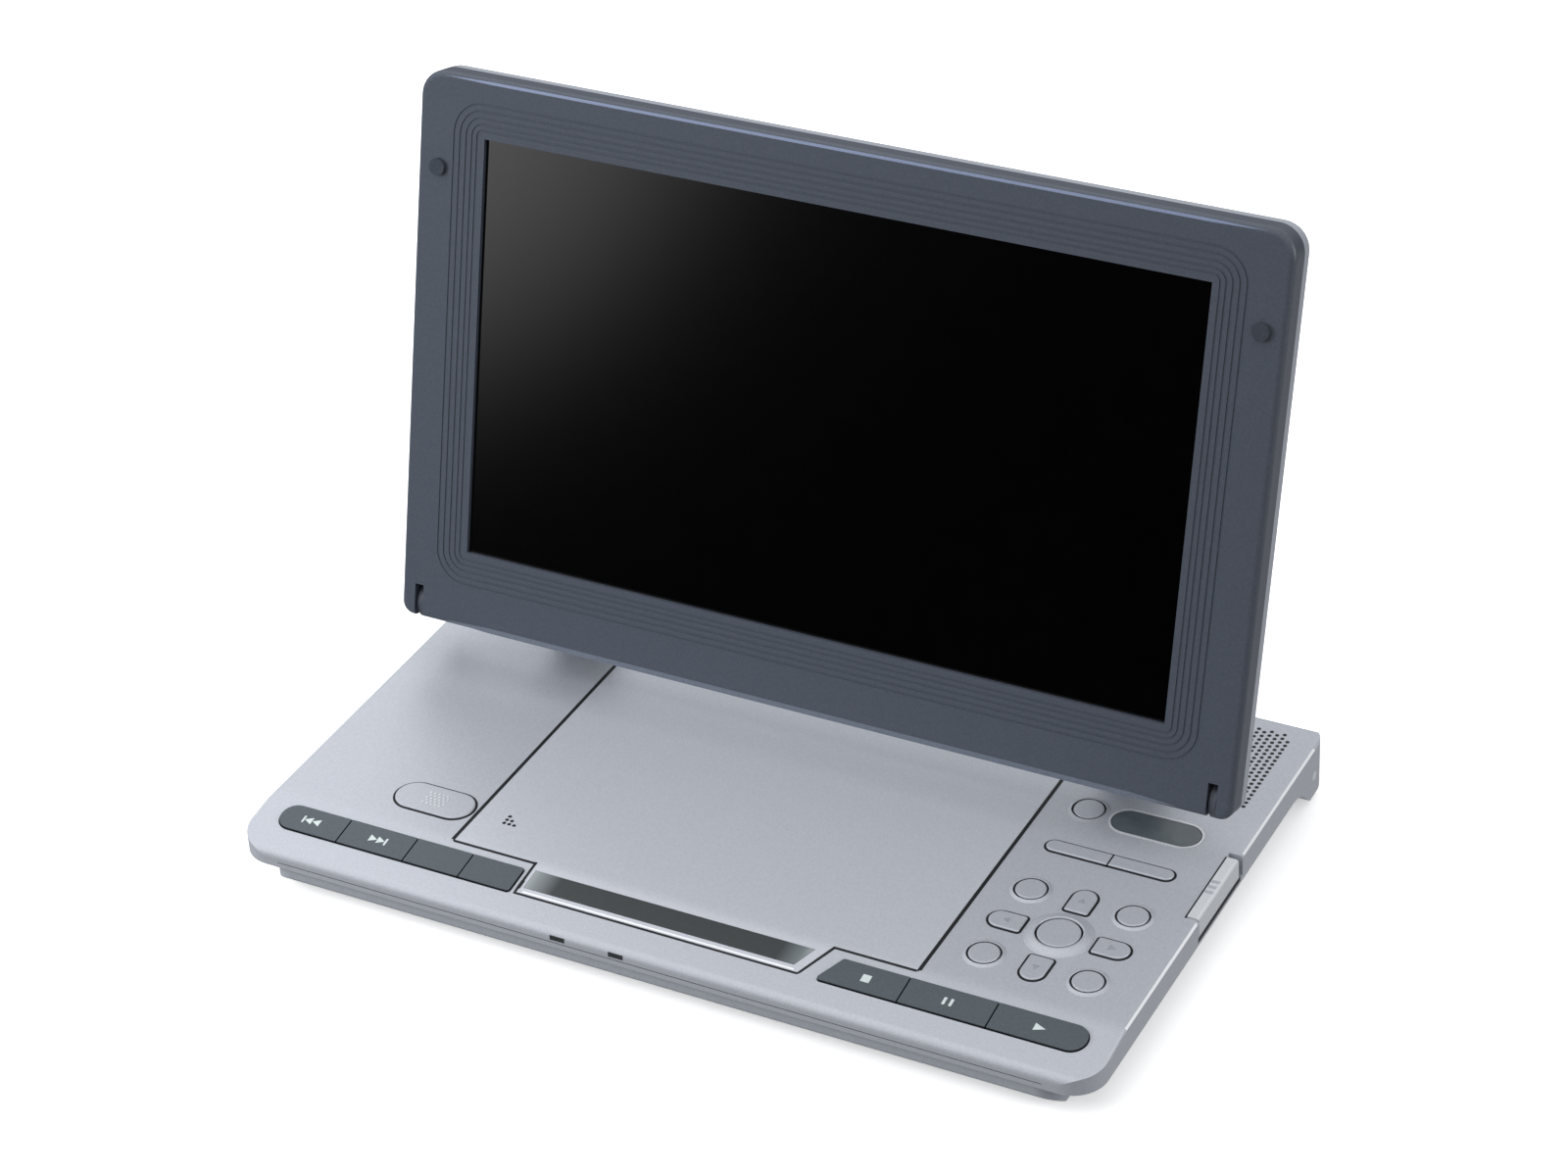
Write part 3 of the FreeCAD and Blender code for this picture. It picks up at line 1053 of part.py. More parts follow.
def make_back_cover():
    back = prism_y(screen_face(0.0), BEZEL_T, SCREEN_T)
    back_edges = [e for e in back.Edges if min(v.Y for v in e.Vertexes) > SCREEN_T - TINY]
    back = back.makeFillet(BACK_EDGE_R, back_edges)
    cavity = prism_y(screen_face(SCREEN_WALL), BEZEL_T - PAST, SCREEN_T - SCREEN_WALL)
    lug_x = KNUCKLE_X - KNUCKLE_T / 2.0 - SLOT_GAP - LUG_SIDE
    lugs = both_sides(box(lug_x, 0, 0, SCREEN_HALF, SCREEN_T, AXLE_U + KNUCKLE_R + LUG_TOP))
    back = back.cut(cavity.cut(lugs))
    inside = SCREEN_T - SCREEN_WALL / 2.0
    spots = screen_screw_spots()
    bosses = [rod_y(x, u, BEZEL_T, inside, BOSS_R) for x, u in spots]
    stops = [rod_y(side * (SCREEN_HALF - STOP_SIDE), u, MODULE_BACK, inside, BOSS_R)
             for side in (-1, 1) for u in (BEZEL_LOW + STOP_INSET, ACTIVE_TOP - STOP_INSET)]
    board_posts = both_sides(rod_y(SCREEN_HALF - SCREEN_POST_SIDE, SCREEN_POST_U, SCREEN_BOARD_D, inside,
                                   SCREEN_POST_R))
    back = joined(back, *bosses, *stops, *board_posts)
    heads = [rod_y(x, u, SCREEN_T - SCREW_HEAD_T, SCREEN_T + PAST, SCREW_HEAD_R + SCREW_HEAD_GAP)
             for x, u in spots]
    shanks = [rod_y(x, u, 0, SCREEN_T, SCREW_SHANK_R + RUN_FIT) for x, u in spots]
    pin_bores = [tilt_pin(side) for side in (-1, 1)]
    return back.cut(knuckle_slots() + heads + shanks + pin_bores).removeSplitter()


def make_screen_board():
    half = SCREEN_HALF - SCREEN_BOARD_SIDE
    return box(-half, SCREEN_BOARD_D - SCREEN_BOARD_T, SCREEN_BOARD_LOW, half, SCREEN_BOARD_D,
               SCREEN_BOARD_LOW + SCREEN_BOARD_H)


def make_screen_screws():
    return [joined(rod_y(x, u, SCREEN_T - SCREW_HEAD_T, SCREEN_T, SCREW_HEAD_R),
                   rod_y(x, u, BEZEL_T - SCREEN_SCREW_BITE, SCREEN_T, SCREW_SHANK_R))
            for x, u in screen_screw_spots()]


def make_bumpers():
    return both_sides(rod_y(BUMPER_X, BUMPER_U, -BUMPER_H, BUMPER_SINK, BUMPER_R))


def on_screen(shape):
    """Moves a shape from the screen's own frame to where the screen stands."""
    placed = shape.copy()
    placed.rotate(V(0, 0, 0), V(1, 0, 0), -SCREEN_LEAN)
    placed.translate(V(0, SCREEN_Y, SCREEN_Z))
    return placed


def strap(first, r1, second, r2, x0, x1):
    """A flat link: two round ends and the straight sides that are tangent to both."""
    dy = second[0] - first[0]
    dz = second[1] - first[1]
    along = math.atan2(dz, dy)
    spread = math.acos((r1 - r2) / math.hypot(dy, dz))
    corners = []
    for centre, radius, side in ((first, r1, 1), (first, r1, -1), (second, r2, -1), (second, r2, 1)):
        angle = along + side * spread
        corners.append((centre[0] + radius * math.cos(angle), centre[1] + radius * math.sin(angle), 0))
    ends = [rod_x(first[0], first[1], x0, x1, r1), rod_x(second[0], second[1], x0, x1, r2)]
    return joined(prism_x(corners, x0, x1), *ends)


def make_tilt_link():
    x0 = KNUCKLE_X - KNUCKLE_T / 2.0
    x1 = KNUCKLE_X + KNUCKLE_T / 2.0
    plates = both_sides(strap(AXLE, KNUCKLE_R, LINK, LINK_EYE_R, x0, x1))
    rod = rod_x(LINK[0], LINK[1], -x1, x1, LINK_ROD_R)
    bore = rod_x(AXLE[0], AXLE[1], -x1 - PAST, x1 + PAST, TILT_PIN_R + RUN_FIT)
    return joined(rod, *plates).cut(bore).removeSplitter()


def make_screen_arm():
    """The frame is drawn as it lies when the player is shut, then swung to the viewing position."""
    x0 = ARM_X - ARM_W / 2.0
    x1 = ARM_X + ARM_W / 2.0
    low = PIVOT_Z - ARM_HALF_T
    high = PIVOT_Z + ARM_HALF_T
    far = LINK_CLOSED[0] + LINK_EYE_R
    near = LINK_CLOSED[0] - LINK_EYE_R + ARM_NECK
    arm = joined(
        rod_x(PIVOT[0], PIVOT[1], x0, x1, ARM_EYE_R),
        prism_x([(PIVOT[0], low, 0), (far, low, ARM_END_R), (far, LINK_CLOSED[1], 0),
                 (near, LINK_CLOSED[1], 0), (near, high, ARM_INNER_R), (PIVOT[0], high, 0)], x0, x1),
        rod_x(LINK_CLOSED[0], LINK_CLOSED[1], x0, x1, LINK_EYE_R))
    bridge = prism_x([(near, low, BRIDGE_R), (far, low, ARM_END_R), (far, high, ARM_END_R),
                      (near, high, BRIDGE_R)], -x0 - PAST, x0 + PAST)
    frame = joined(bridge, *both_sides(arm))
    frame = frame.cut([rod_x(PIVOT[0], PIVOT[1], -x1 - PAST, x1 + PAST, PIVOT_R + RUN_FIT),
                       rod_x(LINK_CLOSED[0], LINK_CLOSED[1], -x1 - PAST, x1 + PAST, LINK_ROD_R + RUN_FIT)])
    frame.rotate(V(0, PIVOT[0], PIVOT[1]), V(1, 0, 0), ARM_SWING)
    return frame


def make_speaker(x):
    top = SKIN_UNDER
    under = top - SPEAKER_FRAME_T
    frame = prism_z(speaker_outline(x, 0.0, 0.0), under, top)
    magnet = prism_z(speaker_outline(x, MAGNET_END_INSET, MAGNET_SIDE_INSET), top - SPEAKER_T, under)
    hollow = prism_z(speaker_outline(x, SPEAKER_RIM, SPEAKER_RIM), top - SPEAKER_CONE_DEPTH, top + PAST)
    return joined(frame, magnet).cut(hollow)


def speaker_outline(x, end_inset, side_inset):
    half = SPEAKER_W / 2.0 - side_inset
    reach = SPEAKER_L / 2.0 - end_inset
    return rect(x - half, SPEAKER_Y - reach, x + half, SPEAKER_Y + reach, half)


def jack_block(y, radius, grow):
    half = radius + JACK_MARGIN + grow
    return box(JACK_X, y - half, SEAM_Z, JACK_X + JACK_DEPTH + WALL + grow, y + half, SKIN_UNDER)


def make_jacks():
    return [jack_block(y, radius, 0.0).cut(rod_x(y, JACK_Z, -HALF_W, JACK_X + JACK_DEPTH, radius))
            for y, radius in JACKS]


def make_rubber_feet():
    x = HALF_W - RUBBER_SIDE_INSET
    rear_y = (CELL_DOOR[0] + CELL_DOOR[1]) / 2.0
    front_y = FRONT_Y + RUBBER_FRONT_INSET
    feet = []
    for side in (-1, 1):
        feet.append(post(side * x, front_y, 0, CASE_BOTTOM, RUBBER_R_FRONT))
        feet.append(post(side * x, rear_y, 0, CASE_BOTTOM, RUBBER_R_REAR))
    return feet


def make_battery_cover():
    half = HALF_W - WALL - BATTERY_COVER_GAP
    top = CASE_BOTTOM + BATTERY_COVER_T
    plate = box(-half, CELL_DOOR[0] + BATTERY_COVER_GAP, CASE_BOTTOM,
                half, CELL_DOOR[1] - BATTERY_COVER_GAP, top)
    row_half = CELL_COUNT * CELL_LEN / 2.0
    rib = box(-row_half, CELL_Y - BATTERY_RIB_W / 2.0, CASE_BOTTOM, row_half, CELL_Y + BATTERY_RIB_W / 2.0,
              CELL_Z - CELL_R - CELL_GAP)
    return joined(plate, rib)


def make_cells():
    start = -CELL_COUNT * CELL_LEN / 2.0
    starts = [start + i * CELL_LEN for i in range(CELL_COUNT)]
    return [rod_x(CELL_Y, CELL_Z, x + CELL_GAP, x + CELL_LEN - CELL_GAP, CELL_R) for x in starts]


def make_main_board():
    half = HALF_W - MAIN_BOARD_SIDE
    top = MAIN_BOARD_Z + MAIN_BOARD_T
    chip_y = BOARD_FRONT_Y + CHIP_FRONT
    board = box(-half, BOARD_FRONT_Y, MAIN_BOARD_Z, half, BOARD_REAR_Y, top)
    chips = [box(x - width / 2.0, chip_y, top, x + width / 2.0, chip_y + depth, top + CHIP_H)
             for x, width, depth in CHIPS]
    holes = [post(x, y, 0, TOP_Z, BOSS_R + BOSS_GAP) for x, y in SCREW_SPOTS + DECK_SPOTS]
    return joined(board, *chips).cut(holes)


os.makedirs("parts", exist_ok=True)

save("top_cover", make_top_cover())
save("bottom_case", make_bottom_case())
save("battery_cover", make_battery_cover())
save("battery_cells", *make_cells())
save("rubber_feet", *make_rubber_feet())
save("case_screws", *make_case_screws())
save("main_board", make_main_board())
save("key_boards", *key_boards(0.0))
save("deck_plate", make_deck())
save("deck_grommets", *make_grommets())
save("spindle_motor", make_spindle_motor())
save("turntable", make_turntable())
save("guide_rods", *[rod_y(x, ROD_Z, ROD_ENDS[0] - HOLDER_D / 2.0, ROD_ENDS[1] + HOLDER_D / 2.0, ROD_R)
                     for x in (-ROD_X, ROD_X)])
save("sled_motor", make_sled_motor())
save("lead_screw", rod_y(SCREW_X, ROD_Z, ROD_ENDS[0] - SCREW_END,
                         ROD_ENDS[1] + SLED_MOTOR_GAP / 2.0, SCREW_R))
save("optical_pickup", make_pickup())
save("pickup_lens", post(0, DISC_Y - PICKUP_REST, DECK_TOP - LENS_SINK, DECK_TOP + LENS_PROUD, LENS_R))
save("speaker_left", make_speaker(-SPEAKER_X))
save("speaker_right", make_speaker(SPEAKER_X))
save("jack_block", *make_jacks())
save("indicator_lenses", *[window(x, FRONT_Y + WINDOW_SINK, FRONT_Y + WALL + WINDOW_LAP) for x in WINDOW_XS])
save("source_label", prism_z(pill(LABEL_X, LABEL_Y, LABEL_L, LABEL_W),
                             TOP_Z - LABEL_SINK, TOP_Z - LABEL_SINK + LABEL_T))
save("lid_hinge_pins", *both_sides(rod_x(LID_PIN[0], LID_PIN[1], LID_HALF - LID_PIN_LEN / 2.0,
                                         LID_HALF + LID_PIN_LEN / 2.0, LID_PIN_R)))
save("arm_pivot_pins", *both_sides(pivot_pin()))
save("lid_latch", make_latch())
save("disc_lid", make_lid())
save("lid_inlay", inlay_shape(0.0))
for key_name, key_points in strip_keys().items():
    save(key_name, make_strip_key(key_points))
for key_name in top_keys(0.0):
    save(key_name, make_top_key(key_name))
save("power_switch", make_power_switch())
save("screen_arm", make_screen_arm())
save("tilt_link", make_tilt_link())
save("screen_bezel", on_screen(make_bezel()))
save("screen_back_cover", on_screen(make_back_cover()))
save("lcd_panel", on_screen(prism_y(active_rect(GLASS_LAP), BEZEL_LIP, PANEL_BACK)))
save("lcd_module", on_screen(prism_y(active_rect(MODULE_LAP), PANEL_BACK, MODULE_BACK)))
save("screen_board", on_screen(make_screen_board()))
save("bumper_pads", *[on_screen(pad) for pad in make_bumpers()])
save("tilt_pins", *[on_screen(tilt_pin(side)) for side in (-1, 1)])
save("screen_screws", *[on_screen(screw) for screw in make_screen_screws()])

print("frame pivot", PIVOT, "swing", ARM_SWING)
print("link", LINK, "axle", AXLE, "lid pin", LID_PIN)
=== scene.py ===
import bpy
import bmesh
import json
import math
from mathutils import Matrix, Quaternion, Vector
from mathutils.geometry import convex_hull_2d


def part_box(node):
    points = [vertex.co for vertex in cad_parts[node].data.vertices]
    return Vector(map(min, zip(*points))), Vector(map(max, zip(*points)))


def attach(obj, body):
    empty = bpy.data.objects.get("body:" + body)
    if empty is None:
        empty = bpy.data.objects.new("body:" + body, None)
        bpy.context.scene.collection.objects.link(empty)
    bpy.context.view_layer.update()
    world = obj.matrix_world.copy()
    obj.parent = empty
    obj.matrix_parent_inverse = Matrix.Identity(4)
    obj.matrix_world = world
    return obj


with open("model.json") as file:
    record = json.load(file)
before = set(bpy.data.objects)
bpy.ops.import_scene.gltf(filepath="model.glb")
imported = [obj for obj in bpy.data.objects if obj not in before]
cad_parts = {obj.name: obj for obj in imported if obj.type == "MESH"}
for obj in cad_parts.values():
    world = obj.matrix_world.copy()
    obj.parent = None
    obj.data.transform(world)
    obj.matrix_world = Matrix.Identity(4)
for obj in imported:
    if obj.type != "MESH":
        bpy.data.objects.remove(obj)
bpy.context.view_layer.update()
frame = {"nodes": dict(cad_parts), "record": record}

# Lengths are millimetres unless a name says otherwise; MM turns them to metres.
MM = 0.001

# Camera: where the photograph was taken from, its direction and its lens
CAMERA_PLACE = Vector((409.55, -720.39, 621.39)) * MM
CAMERA_AIM = Vector((-0.40969, 0.72735, -0.55056))
CAMERA_ROLL = math.radians(-3.65)
CAMERA_LENS = 91.74
SENSOR_WIDTH = 36.0

# Surfaces that the small pieces sit on. In front of the crease the cover slopes down to the front strip.
TOP_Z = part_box("top_cover")[1].z / MM
SIDE_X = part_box("top_cover")[1].x / MM
CREASE_Y = -55.5
STRIP_SLOPE = 2.9 / 20.0
KEY_PROUD = 0.5
SCREEN_FOOT = Vector((0.0, 8.7, 31.4))
SCREEN_LEAN = math.radians(15.0)

# How far print, painted shade and painted highlights stand out: on top, on the outer faces, and beside a key
PRINT_T = 0.05
SIDE_PRINT_T = 0.02
FLUSH = 0.02

# Sockets of the Mix node when it mixes colours
MIX_FACTOR, MIX_FIRST, MIX_SECOND, MIX_RESULT = 0, 6, 7, 2


# Small helpers

def linear(code):
    """Turns an sRGB hex colour into the linear values that shaders use."""
    parts = [int(code[i:i + 2], 16) / 255.0 for i in (1, 3, 5)]
    return tuple(c / 12.92 if c <= 0.04045 else ((c + 0.055) / 1.055) ** 2.4 for c in parts) + (1.0,)


def add(tree, kind, links=None, **settings):
    """Adds a node, sets its values and inputs, and links its inputs to other nodes' outputs."""
    node = tree.nodes.new(kind)
    for key, value in settings.items():
        setattr(node, key, value)
    for socket, source in (links or {}).items():
        if hasattr(source, "is_output"):
            tree.links.new(source, node.inputs[socket])
        else:
            node.inputs[socket].default_value = source
    return node


def finish_of(name, **values):
    """A new material with one Principled shader; values are set on the shader's own sockets."""
    material = bpy.data.materials.new(name)
    material.use_nodes = True
    shader = material.node_tree.nodes["Principled BSDF"]
    for socket, value in values.items():
        shader.inputs[socket.replace("_", " ")].default_value = value
    return material, material.node_tree, shader


def per_mm(size):
    """Noise scale whose features measure about size millimetres."""
    return 1.0 / (size * MM)


def ramp_of(tree, factor, stops):
    """A colour ramp through (position, hex) stops."""
    ramp = add(tree, "ShaderNodeValToRGB", {"Fac": factor})
    elements = ramp.color_ramp.elements
    elements[0].position, elements[0].color = stops[0][0], linear(stops[0][1])
    elements[1].position, elements[1].color = stops[-1][0], linear(stops[-1][1])
    for position, code in stops[1:-1]:
        elements.new(position).color = linear(code)
    return ramp.outputs["Color"]


def speckle(tree, size, low, high):
    """A colour that wanders between two hex tones in patches of the given size."""
    place = add(tree, "ShaderNodeTexCoord")
    noise = add(tree, "ShaderNodeTexNoise",
                {"Vector": place.outputs["Object"], "Scale": per_mm(size), "Detail": 2.0})
    return ramp_of(tree, noise.outputs["Fac"], ((0.3, low), (0.7, high)))


def mixed(tree, factor, first, second, blend="MIX"):
    """Two colours blended by a factor."""
    mix = add(tree, "ShaderNodeMix", {MIX_FACTOR: factor, MIX_FIRST: first, MIX_SECOND: second},
              data_type="RGBA", blend_type=blend)
    return mix.outputs[MIX_RESULT]


def along(tree, direction, start, end):
    """A factor that runs from 0 to 1 between two distances along a direction, in millimetres."""
    place = add(tree, "ShaderNodeTexCoord")
    reach = add(tree, "ShaderNodeVectorMath", {0: place.outputs["Object"], 1: direction},
                operation="DOT_PRODUCT")
    share = add(tree, "ShaderNodeMapRange",
                {"Value": reach.outputs["Value"], "From Min": start * MM, "From Max": end * MM})
    return share.outputs["Result"]


def roughen(tree, shader, size, rough, depth):
    """Roughness that varies, and a fine bump of the given depth, both in grains of the given size."""
    place = add(tree, "ShaderNodeTexCoord")
    grain = add(tree, "ShaderNodeTexNoise",
                {"Vector": place.outputs["Object"], "Scale": per_mm(size), "Detail": 3.0})
    spread = add(tree, "ShaderNodeMapRange",
                 {"Value": grain.outputs["Fac"], "To Min": rough[0], "To Max": rough[1]})
    bump = add(tree, "ShaderNodeBump",
               {"Height": grain.outputs["Fac"], "Strength": 1.0, "Distance": depth * MM})
    tree.links.new(spread.outputs["Result"], shader.inputs["Roughness"])
    tree.links.new(bump.outputs["Normal"], shader.inputs["Normal"])


# Materials

LACQUER_PATCH = 0.45
LACQUER_GRAIN = 0.3
LACQUER_DEPTH = 0.006


def flecked(name, low, high, patch, grain, rough, depth, **values):
    """A finish whose colour wanders between two tones in patches, over a fine uneven grain."""
    material, tree, shader = finish_of(name, **values)
    tree.links.new(speckle(tree, patch, low, high), shader.inputs["Base Color"])
    roughen(tree, shader, grain, rough, depth)
    return material


def painted_silver(name, low, high, metallic=0.25):
    """Silver lacquer with fine metal flake on moulded ABS: a soft sheen with a faint sparkle.
    The flake is drawn coarser than it is, so that it shows."""
    return flecked(name, low, high, patch=LACQUER_PATCH, grain=LACQUER_GRAIN, rough=(0.38, 0.52),
                   depth=LACQUER_DEPTH, Metallic=metallic)


def lacquered_key(name, low, high, painted_wall_shade, level, slope=0.0, metallic=0.2):
    """A lacquered key: the face has the finish; the walls below its shoulder get a dark painted shade."""
    blur = 0.05
    material, tree, shader = finish_of(name, Metallic=metallic)
    shoulder = along(tree, (0.0, -slope, 1.0), level - blur, level + blur)
    # Painted shade: the walls below the shoulder take the dark colour, the face keeps the lacquer.
    colour = mixed(tree, shoulder, linear(painted_wall_shade), speckle(tree, LACQUER_PATCH, low, high))
    tree.links.new(colour, shader.inputs["Base Color"])
    roughen(tree, shader, LACQUER_GRAIN, (0.34, 0.48), LACQUER_DEPTH)
    return material


def moulded_plastic(name, low, high, grain=0.35, rough=(0.42, 0.58), depth=0.008):
    """Spark-textured ABS: matt, with a fine grain that breaks up the highlights."""
    return flecked(name, low, high, patch=grain * 1.6, grain=grain, rough=rough, depth=depth, IOR=1.54)


def screen_black():
    """Hard-coated polariser over an unlit liquid crystal panel: deep black with a slightly soft mirror."""
    return flecked("hard_coated_panel", "#010101", "#020203", patch=6.0, grain=0.2, rough=(0.09, 0.12),
                   depth=0.0003, IOR=1.5)


def smoked_acrylic(name, low, high):
    """Smoked acrylic: dark body, polished face."""
    return flecked(name, low, high, patch=3.0, grain=0.25, rough=(0.26, 0.34), depth=0.002, IOR=1.49)


def acrylic_pale_ends():
    """Acrylic strip: smoked in the middle, lighter towards both ends, where it runs to silver."""
    low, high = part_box("lid_inlay")
    material, tree, shader = finish_of("acrylic_pale_at_both_ends", IOR=1.49)
    across = along(tree, (1.0, 0.0, 0.0), low.x / MM, high.x / MM)
    fade = ((0.0, "#9aa0a4"), (0.03, "#7c8387"), (0.1, "#2b3133"),
            (0.9, "#282e30"), (0.97, "#6c7478"), (1.0, "#9aa1a4"))
    cloud = speckle(tree, 1.2, "#24292b", "#2e3437")
    clouded = 0.25
    tree.links.new(mixed(tree, clouded, ramp_of(tree, across, fade), cloud), shader.inputs["Base Color"])
    roughen(tree, shader, 0.25, (0.2, 0.28), 0.002)
    return material


def soft_rubber(name, low, high):
    """Moulded rubber: dull, with a powdery bloom."""
    return flecked(name, low, high, patch=0.8, grain=0.3, rough=(0.5, 0.68), depth=0.01, IOR=1.5)


def plated_steel():
    """Zinc-plated steel: turned or stamped, a cool metal with a slightly uneven polish."""
    return flecked("plated_steel", "#9da1a8", "#b6bac0", patch=1.2, grain=0.4, rough=(0.28, 0.42),
                   depth=0.003, Metallic=1.0)


def circuit_board():
    """Glass-epoxy board under green solder mask, with paler copper runs below it."""
    material, tree, shader = finish_of("solder_mask", IOR=1.55)
    place = add(tree, "ShaderNodeTexCoord")
    cells = add(tree, "ShaderNodeTexVoronoi", {"Vector": place.outputs["Object"], "Scale": per_mm(2.5)},
                distance="MANHATTAN")
    runs = ramp_of(tree, cells.outputs["Distance"], ((0.0, "#1d5a37"), (1.0, "#12402a")))
    tree.links.new(runs, shader.inputs["Base Color"])
    roughen(tree, shader, 0.6, (0.25, 0.4), 0.01)
    return material


def pressed_aluminium():
    """Pressed aluminium sheet: pale, satin, faintly streaked."""
    return flecked("pressed_aluminium", "#b9bbbf", "#cccdd0", patch=1.5, grain=0.5, rough=(0.32, 0.45),
                   depth=0.004, Metallic=1.0)


def coated_lens():
    """Coated pickup lens: clear with a violet reflection."""
    return flecked("coated_lens", "#3a3f6a", "#4b4370", patch=2.0, grain=0.5, rough=(0.03, 0.06),
                   depth=0.0002, IOR=1.5, Coat_Weight=1.0)


def pad_print(name, low, high):
    """Pad-printed ink: thin and matt, a little uneven."""
    return flecked(name, low, high, patch=0.6, grain=0.3, rough=(0.5, 0.7), depth=0.003, IOR=1.45)


# Heights where a key's lacquered face meets its walls, below which the walls get a painted shade; the strip's
# is taken back to y 0 along the slope
SHOULDER = TOP_Z + 0.12
STRIP_SHOULDER = TOP_Z - CREASE_Y * STRIP_SLOPE + 0.3

SILVER = painted_silver("silver_lacquer", "#abafb8", "#b6bac2", metallic=0.35)
LID_SILVER = painted_silver("pale_silver_lacquer", "#b6bac3", "#c1c5cd", metallic=0.35)
SILVER_LOWER = painted_silver("grey_lacquer", "#a1a6af", "#acb1b9")
SILVER_BACK = painted_silver("satin_grey_lacquer", "#9a9fa9", "#a5aab3")
SILVER_KEY = lacquered_key("silver_key_lacquer_and_wall_shade", "#a9adb6", "#b4b8c0", "#26282c", SHOULDER, metallic=0.35)
STRIP_KEY = lacquered_key("grey_key_lacquer_and_wall_shade", "#444c52", "#4e565c", "#101213", STRIP_SHOULDER, STRIP_SLOPE)
BRIGHT_SILVER = painted_silver("bright_silver_lacquer", "#cbced3", "#d6d9dd", metallic=0.35)
# Painted highlight: pale silver for the bright lines along the cover's edges and on the tongue's lip.
HIGHLIGHT_SILVER = painted_silver("painted_highlight_silver_lacquer", "#e2e4e8", "#eceef1", metallic=0.2)
FRAME_GREY = moulded_plastic("blue_grey_abs", "#3c424d", "#464c57", grain=0.3, rough=(0.36, 0.5), depth=0.006)
# Painted highlights for the bezel's lower and upper front edges.
LOWER_EDGE_HIGHLIGHT = moulded_plastic("painted_highlight_blue_grey_abs", "#59606d", "#656c79", grain=0.3, rough=(0.3, 0.42))
UPPER_EDGE_HIGHLIGHT = moulded_plastic("painted_highlight_pale_blue_abs", "#7985a0", "#8490ab", grain=0.3, rough=(0.25, 0.35))
DARK_PLASTIC = moulded_plastic("black_abs", "#1b1d20", "#232529")
PANEL = screen_black()
INLAY_ACRYLIC = acrylic_pale_ends()
LABEL_ACRYLIC = smoked_acrylic("smoked_acrylic", "#4a5358", "#545d62")
RUBBER = soft_rubber("moulded_rubber", "#202225", "#2b2e33")
PAD_RUBBER = soft_rubber("grey_moulded_rubber", "#2d333c", "#373d47")
STEEL = plated_steel()
BOARD = circuit_board()
ALUMINIUM = pressed_aluminium()
LENS = coated_lens()
PALE_INK = pad_print("pale_ink", "#b2bcbd", "#c1cacb")
GREY_INK = pad_print("grey_ink", "#7c828b", "#898f98")
# Black for print and seams, and for painted shade in the gaps round keys, lid and switch, in the latch opening
# and in the grille holes.
BLACK_INK_AND_SHADE = pad_print("black_ink_and_painted_shade", "#101214", "#181a1d")

SLOT_FINISH = {
    "silver_shell": SILVER, "silver_lower": SILVER_LOWER, "dark_key": STRIP_KEY, "dark_shell": FRAME_GREY,
    "silver_back": SILVER_BACK, "dark_trim": DARK_PLASTIC, "screen_glass": PANEL, "clear_lens": LENS,
    "rubber_black": RUBBER, "steel": STEEL, "light_metal": ALUMINIUM, "board_green": BOARD,
}
NODE_FINISH = {
    "disc_lid": LID_SILVER, "lid_inlay": INLAY_ACRYLIC, "source_label": LABEL_ACRYLIC,
    "tilt_link": FRAME_GREY, "bumper_pads": PAD_RUBBER, "open_button": SILVER_KEY,
    "power_switch": BRIGHT_SILVER,
}
ARROW_KEYS = ("key_right", "key_up", "key_left", "key_down")
ROUND_KEYS = ("key_title", "key_menu", "key_display", "key_return", "key_source")
TOP_KEYS = ARROW_KEYS + ROUND_KEYS + ("key_enter", "key_picture", "key_sound")


def dress_nodes():
    """Gives every CAD node the finish of its slot, or its own."""
    own = dict(NODE_FINISH, **{name: SILVER_KEY for name in TOP_KEYS})
    for part in frame["record"]["subparts"]:
        node = part["node"]
        mesh = frame["nodes"][node].data
        mesh.materials.clear()
        mesh.materials.append(own.get(node, SLOT_FINISH[part["material_slot"]]))


# Making pieces

def piece(name, mesh, finish, body):
    """Puts a finished mesh into the scene as a piece of the object."""
    shape = bpy.data.objects.new(name, mesh)
    bpy.context.scene.collection.objects.link(shape)
    if finish is not None:
        mesh.materials.clear()
        mesh.materials.append(finish)
    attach(shape, body)


def mesh_of(name, build):
    """A mesh whose faces are made in millimetres by build(bm)."""
    mesh = bpy.data.meshes.new(name)
    bm = bmesh.new()
    build(bm)
    bmesh.ops.scale(bm, vec=(MM, MM, MM), verts=bm.verts)
    bmesh.ops.recalc_face_normals(bm, faces=bm.faces)
    bm.to_mesh(mesh)
    bm.free()
    return mesh


def skin(bm, loops, smooth=False):
    """Faces between each loop of corners and the next."""
    for first, second in zip(loops, loops[1:]):
        for k in range(len(first)):
            j = (k + 1) % len(first)
            bm.faces.new((first[k], first[j], second[j], second[k])).smooth = smooth


def closed(bm, sections):
    """A solid over sections of as many points, closed at both ends."""
    loops = [[bm.verts.new(point) for point in section] for section in sections]
    skin(bm, loops)
    bm.faces.new(loops[0])
    bm.faces.new(loops[-1])


def plate(bm, outline, low, high):
    """A closed plate over an outline; low and high give its heights at a point."""
    closed(bm, [[(x, y, height(x, y)) for x, y in outline] for height in (low, high)])


def band(bm, inner, outer, low, high):
    """A flat closed ring between two outlines of as many points."""
    loops = [[bm.verts.new((x, y, z)) for x, y in outline]
             for outline, z in ((inner, low), (inner, high), (outer, high), (outer, low))]
    skin(bm, loops + loops[:1])


def level(z):
    """A flat surface: its height is the same at every point."""
    return lambda x, y: z


def raised(surface, rise):
    """A surface moved up."""
    return lambda x, y: surface(x, y) + rise


def on_strip(x, y):
    """Height of the sloping front strip at a point."""
    return TOP_Z - (CREASE_Y - y) * STRIP_SLOPE


def on_cover(x, y):
    """Height of the top cover at a point, behind or in front of the crease."""
    return min(TOP_Z, on_strip(x, y))


on_panel = level(TOP_Z)


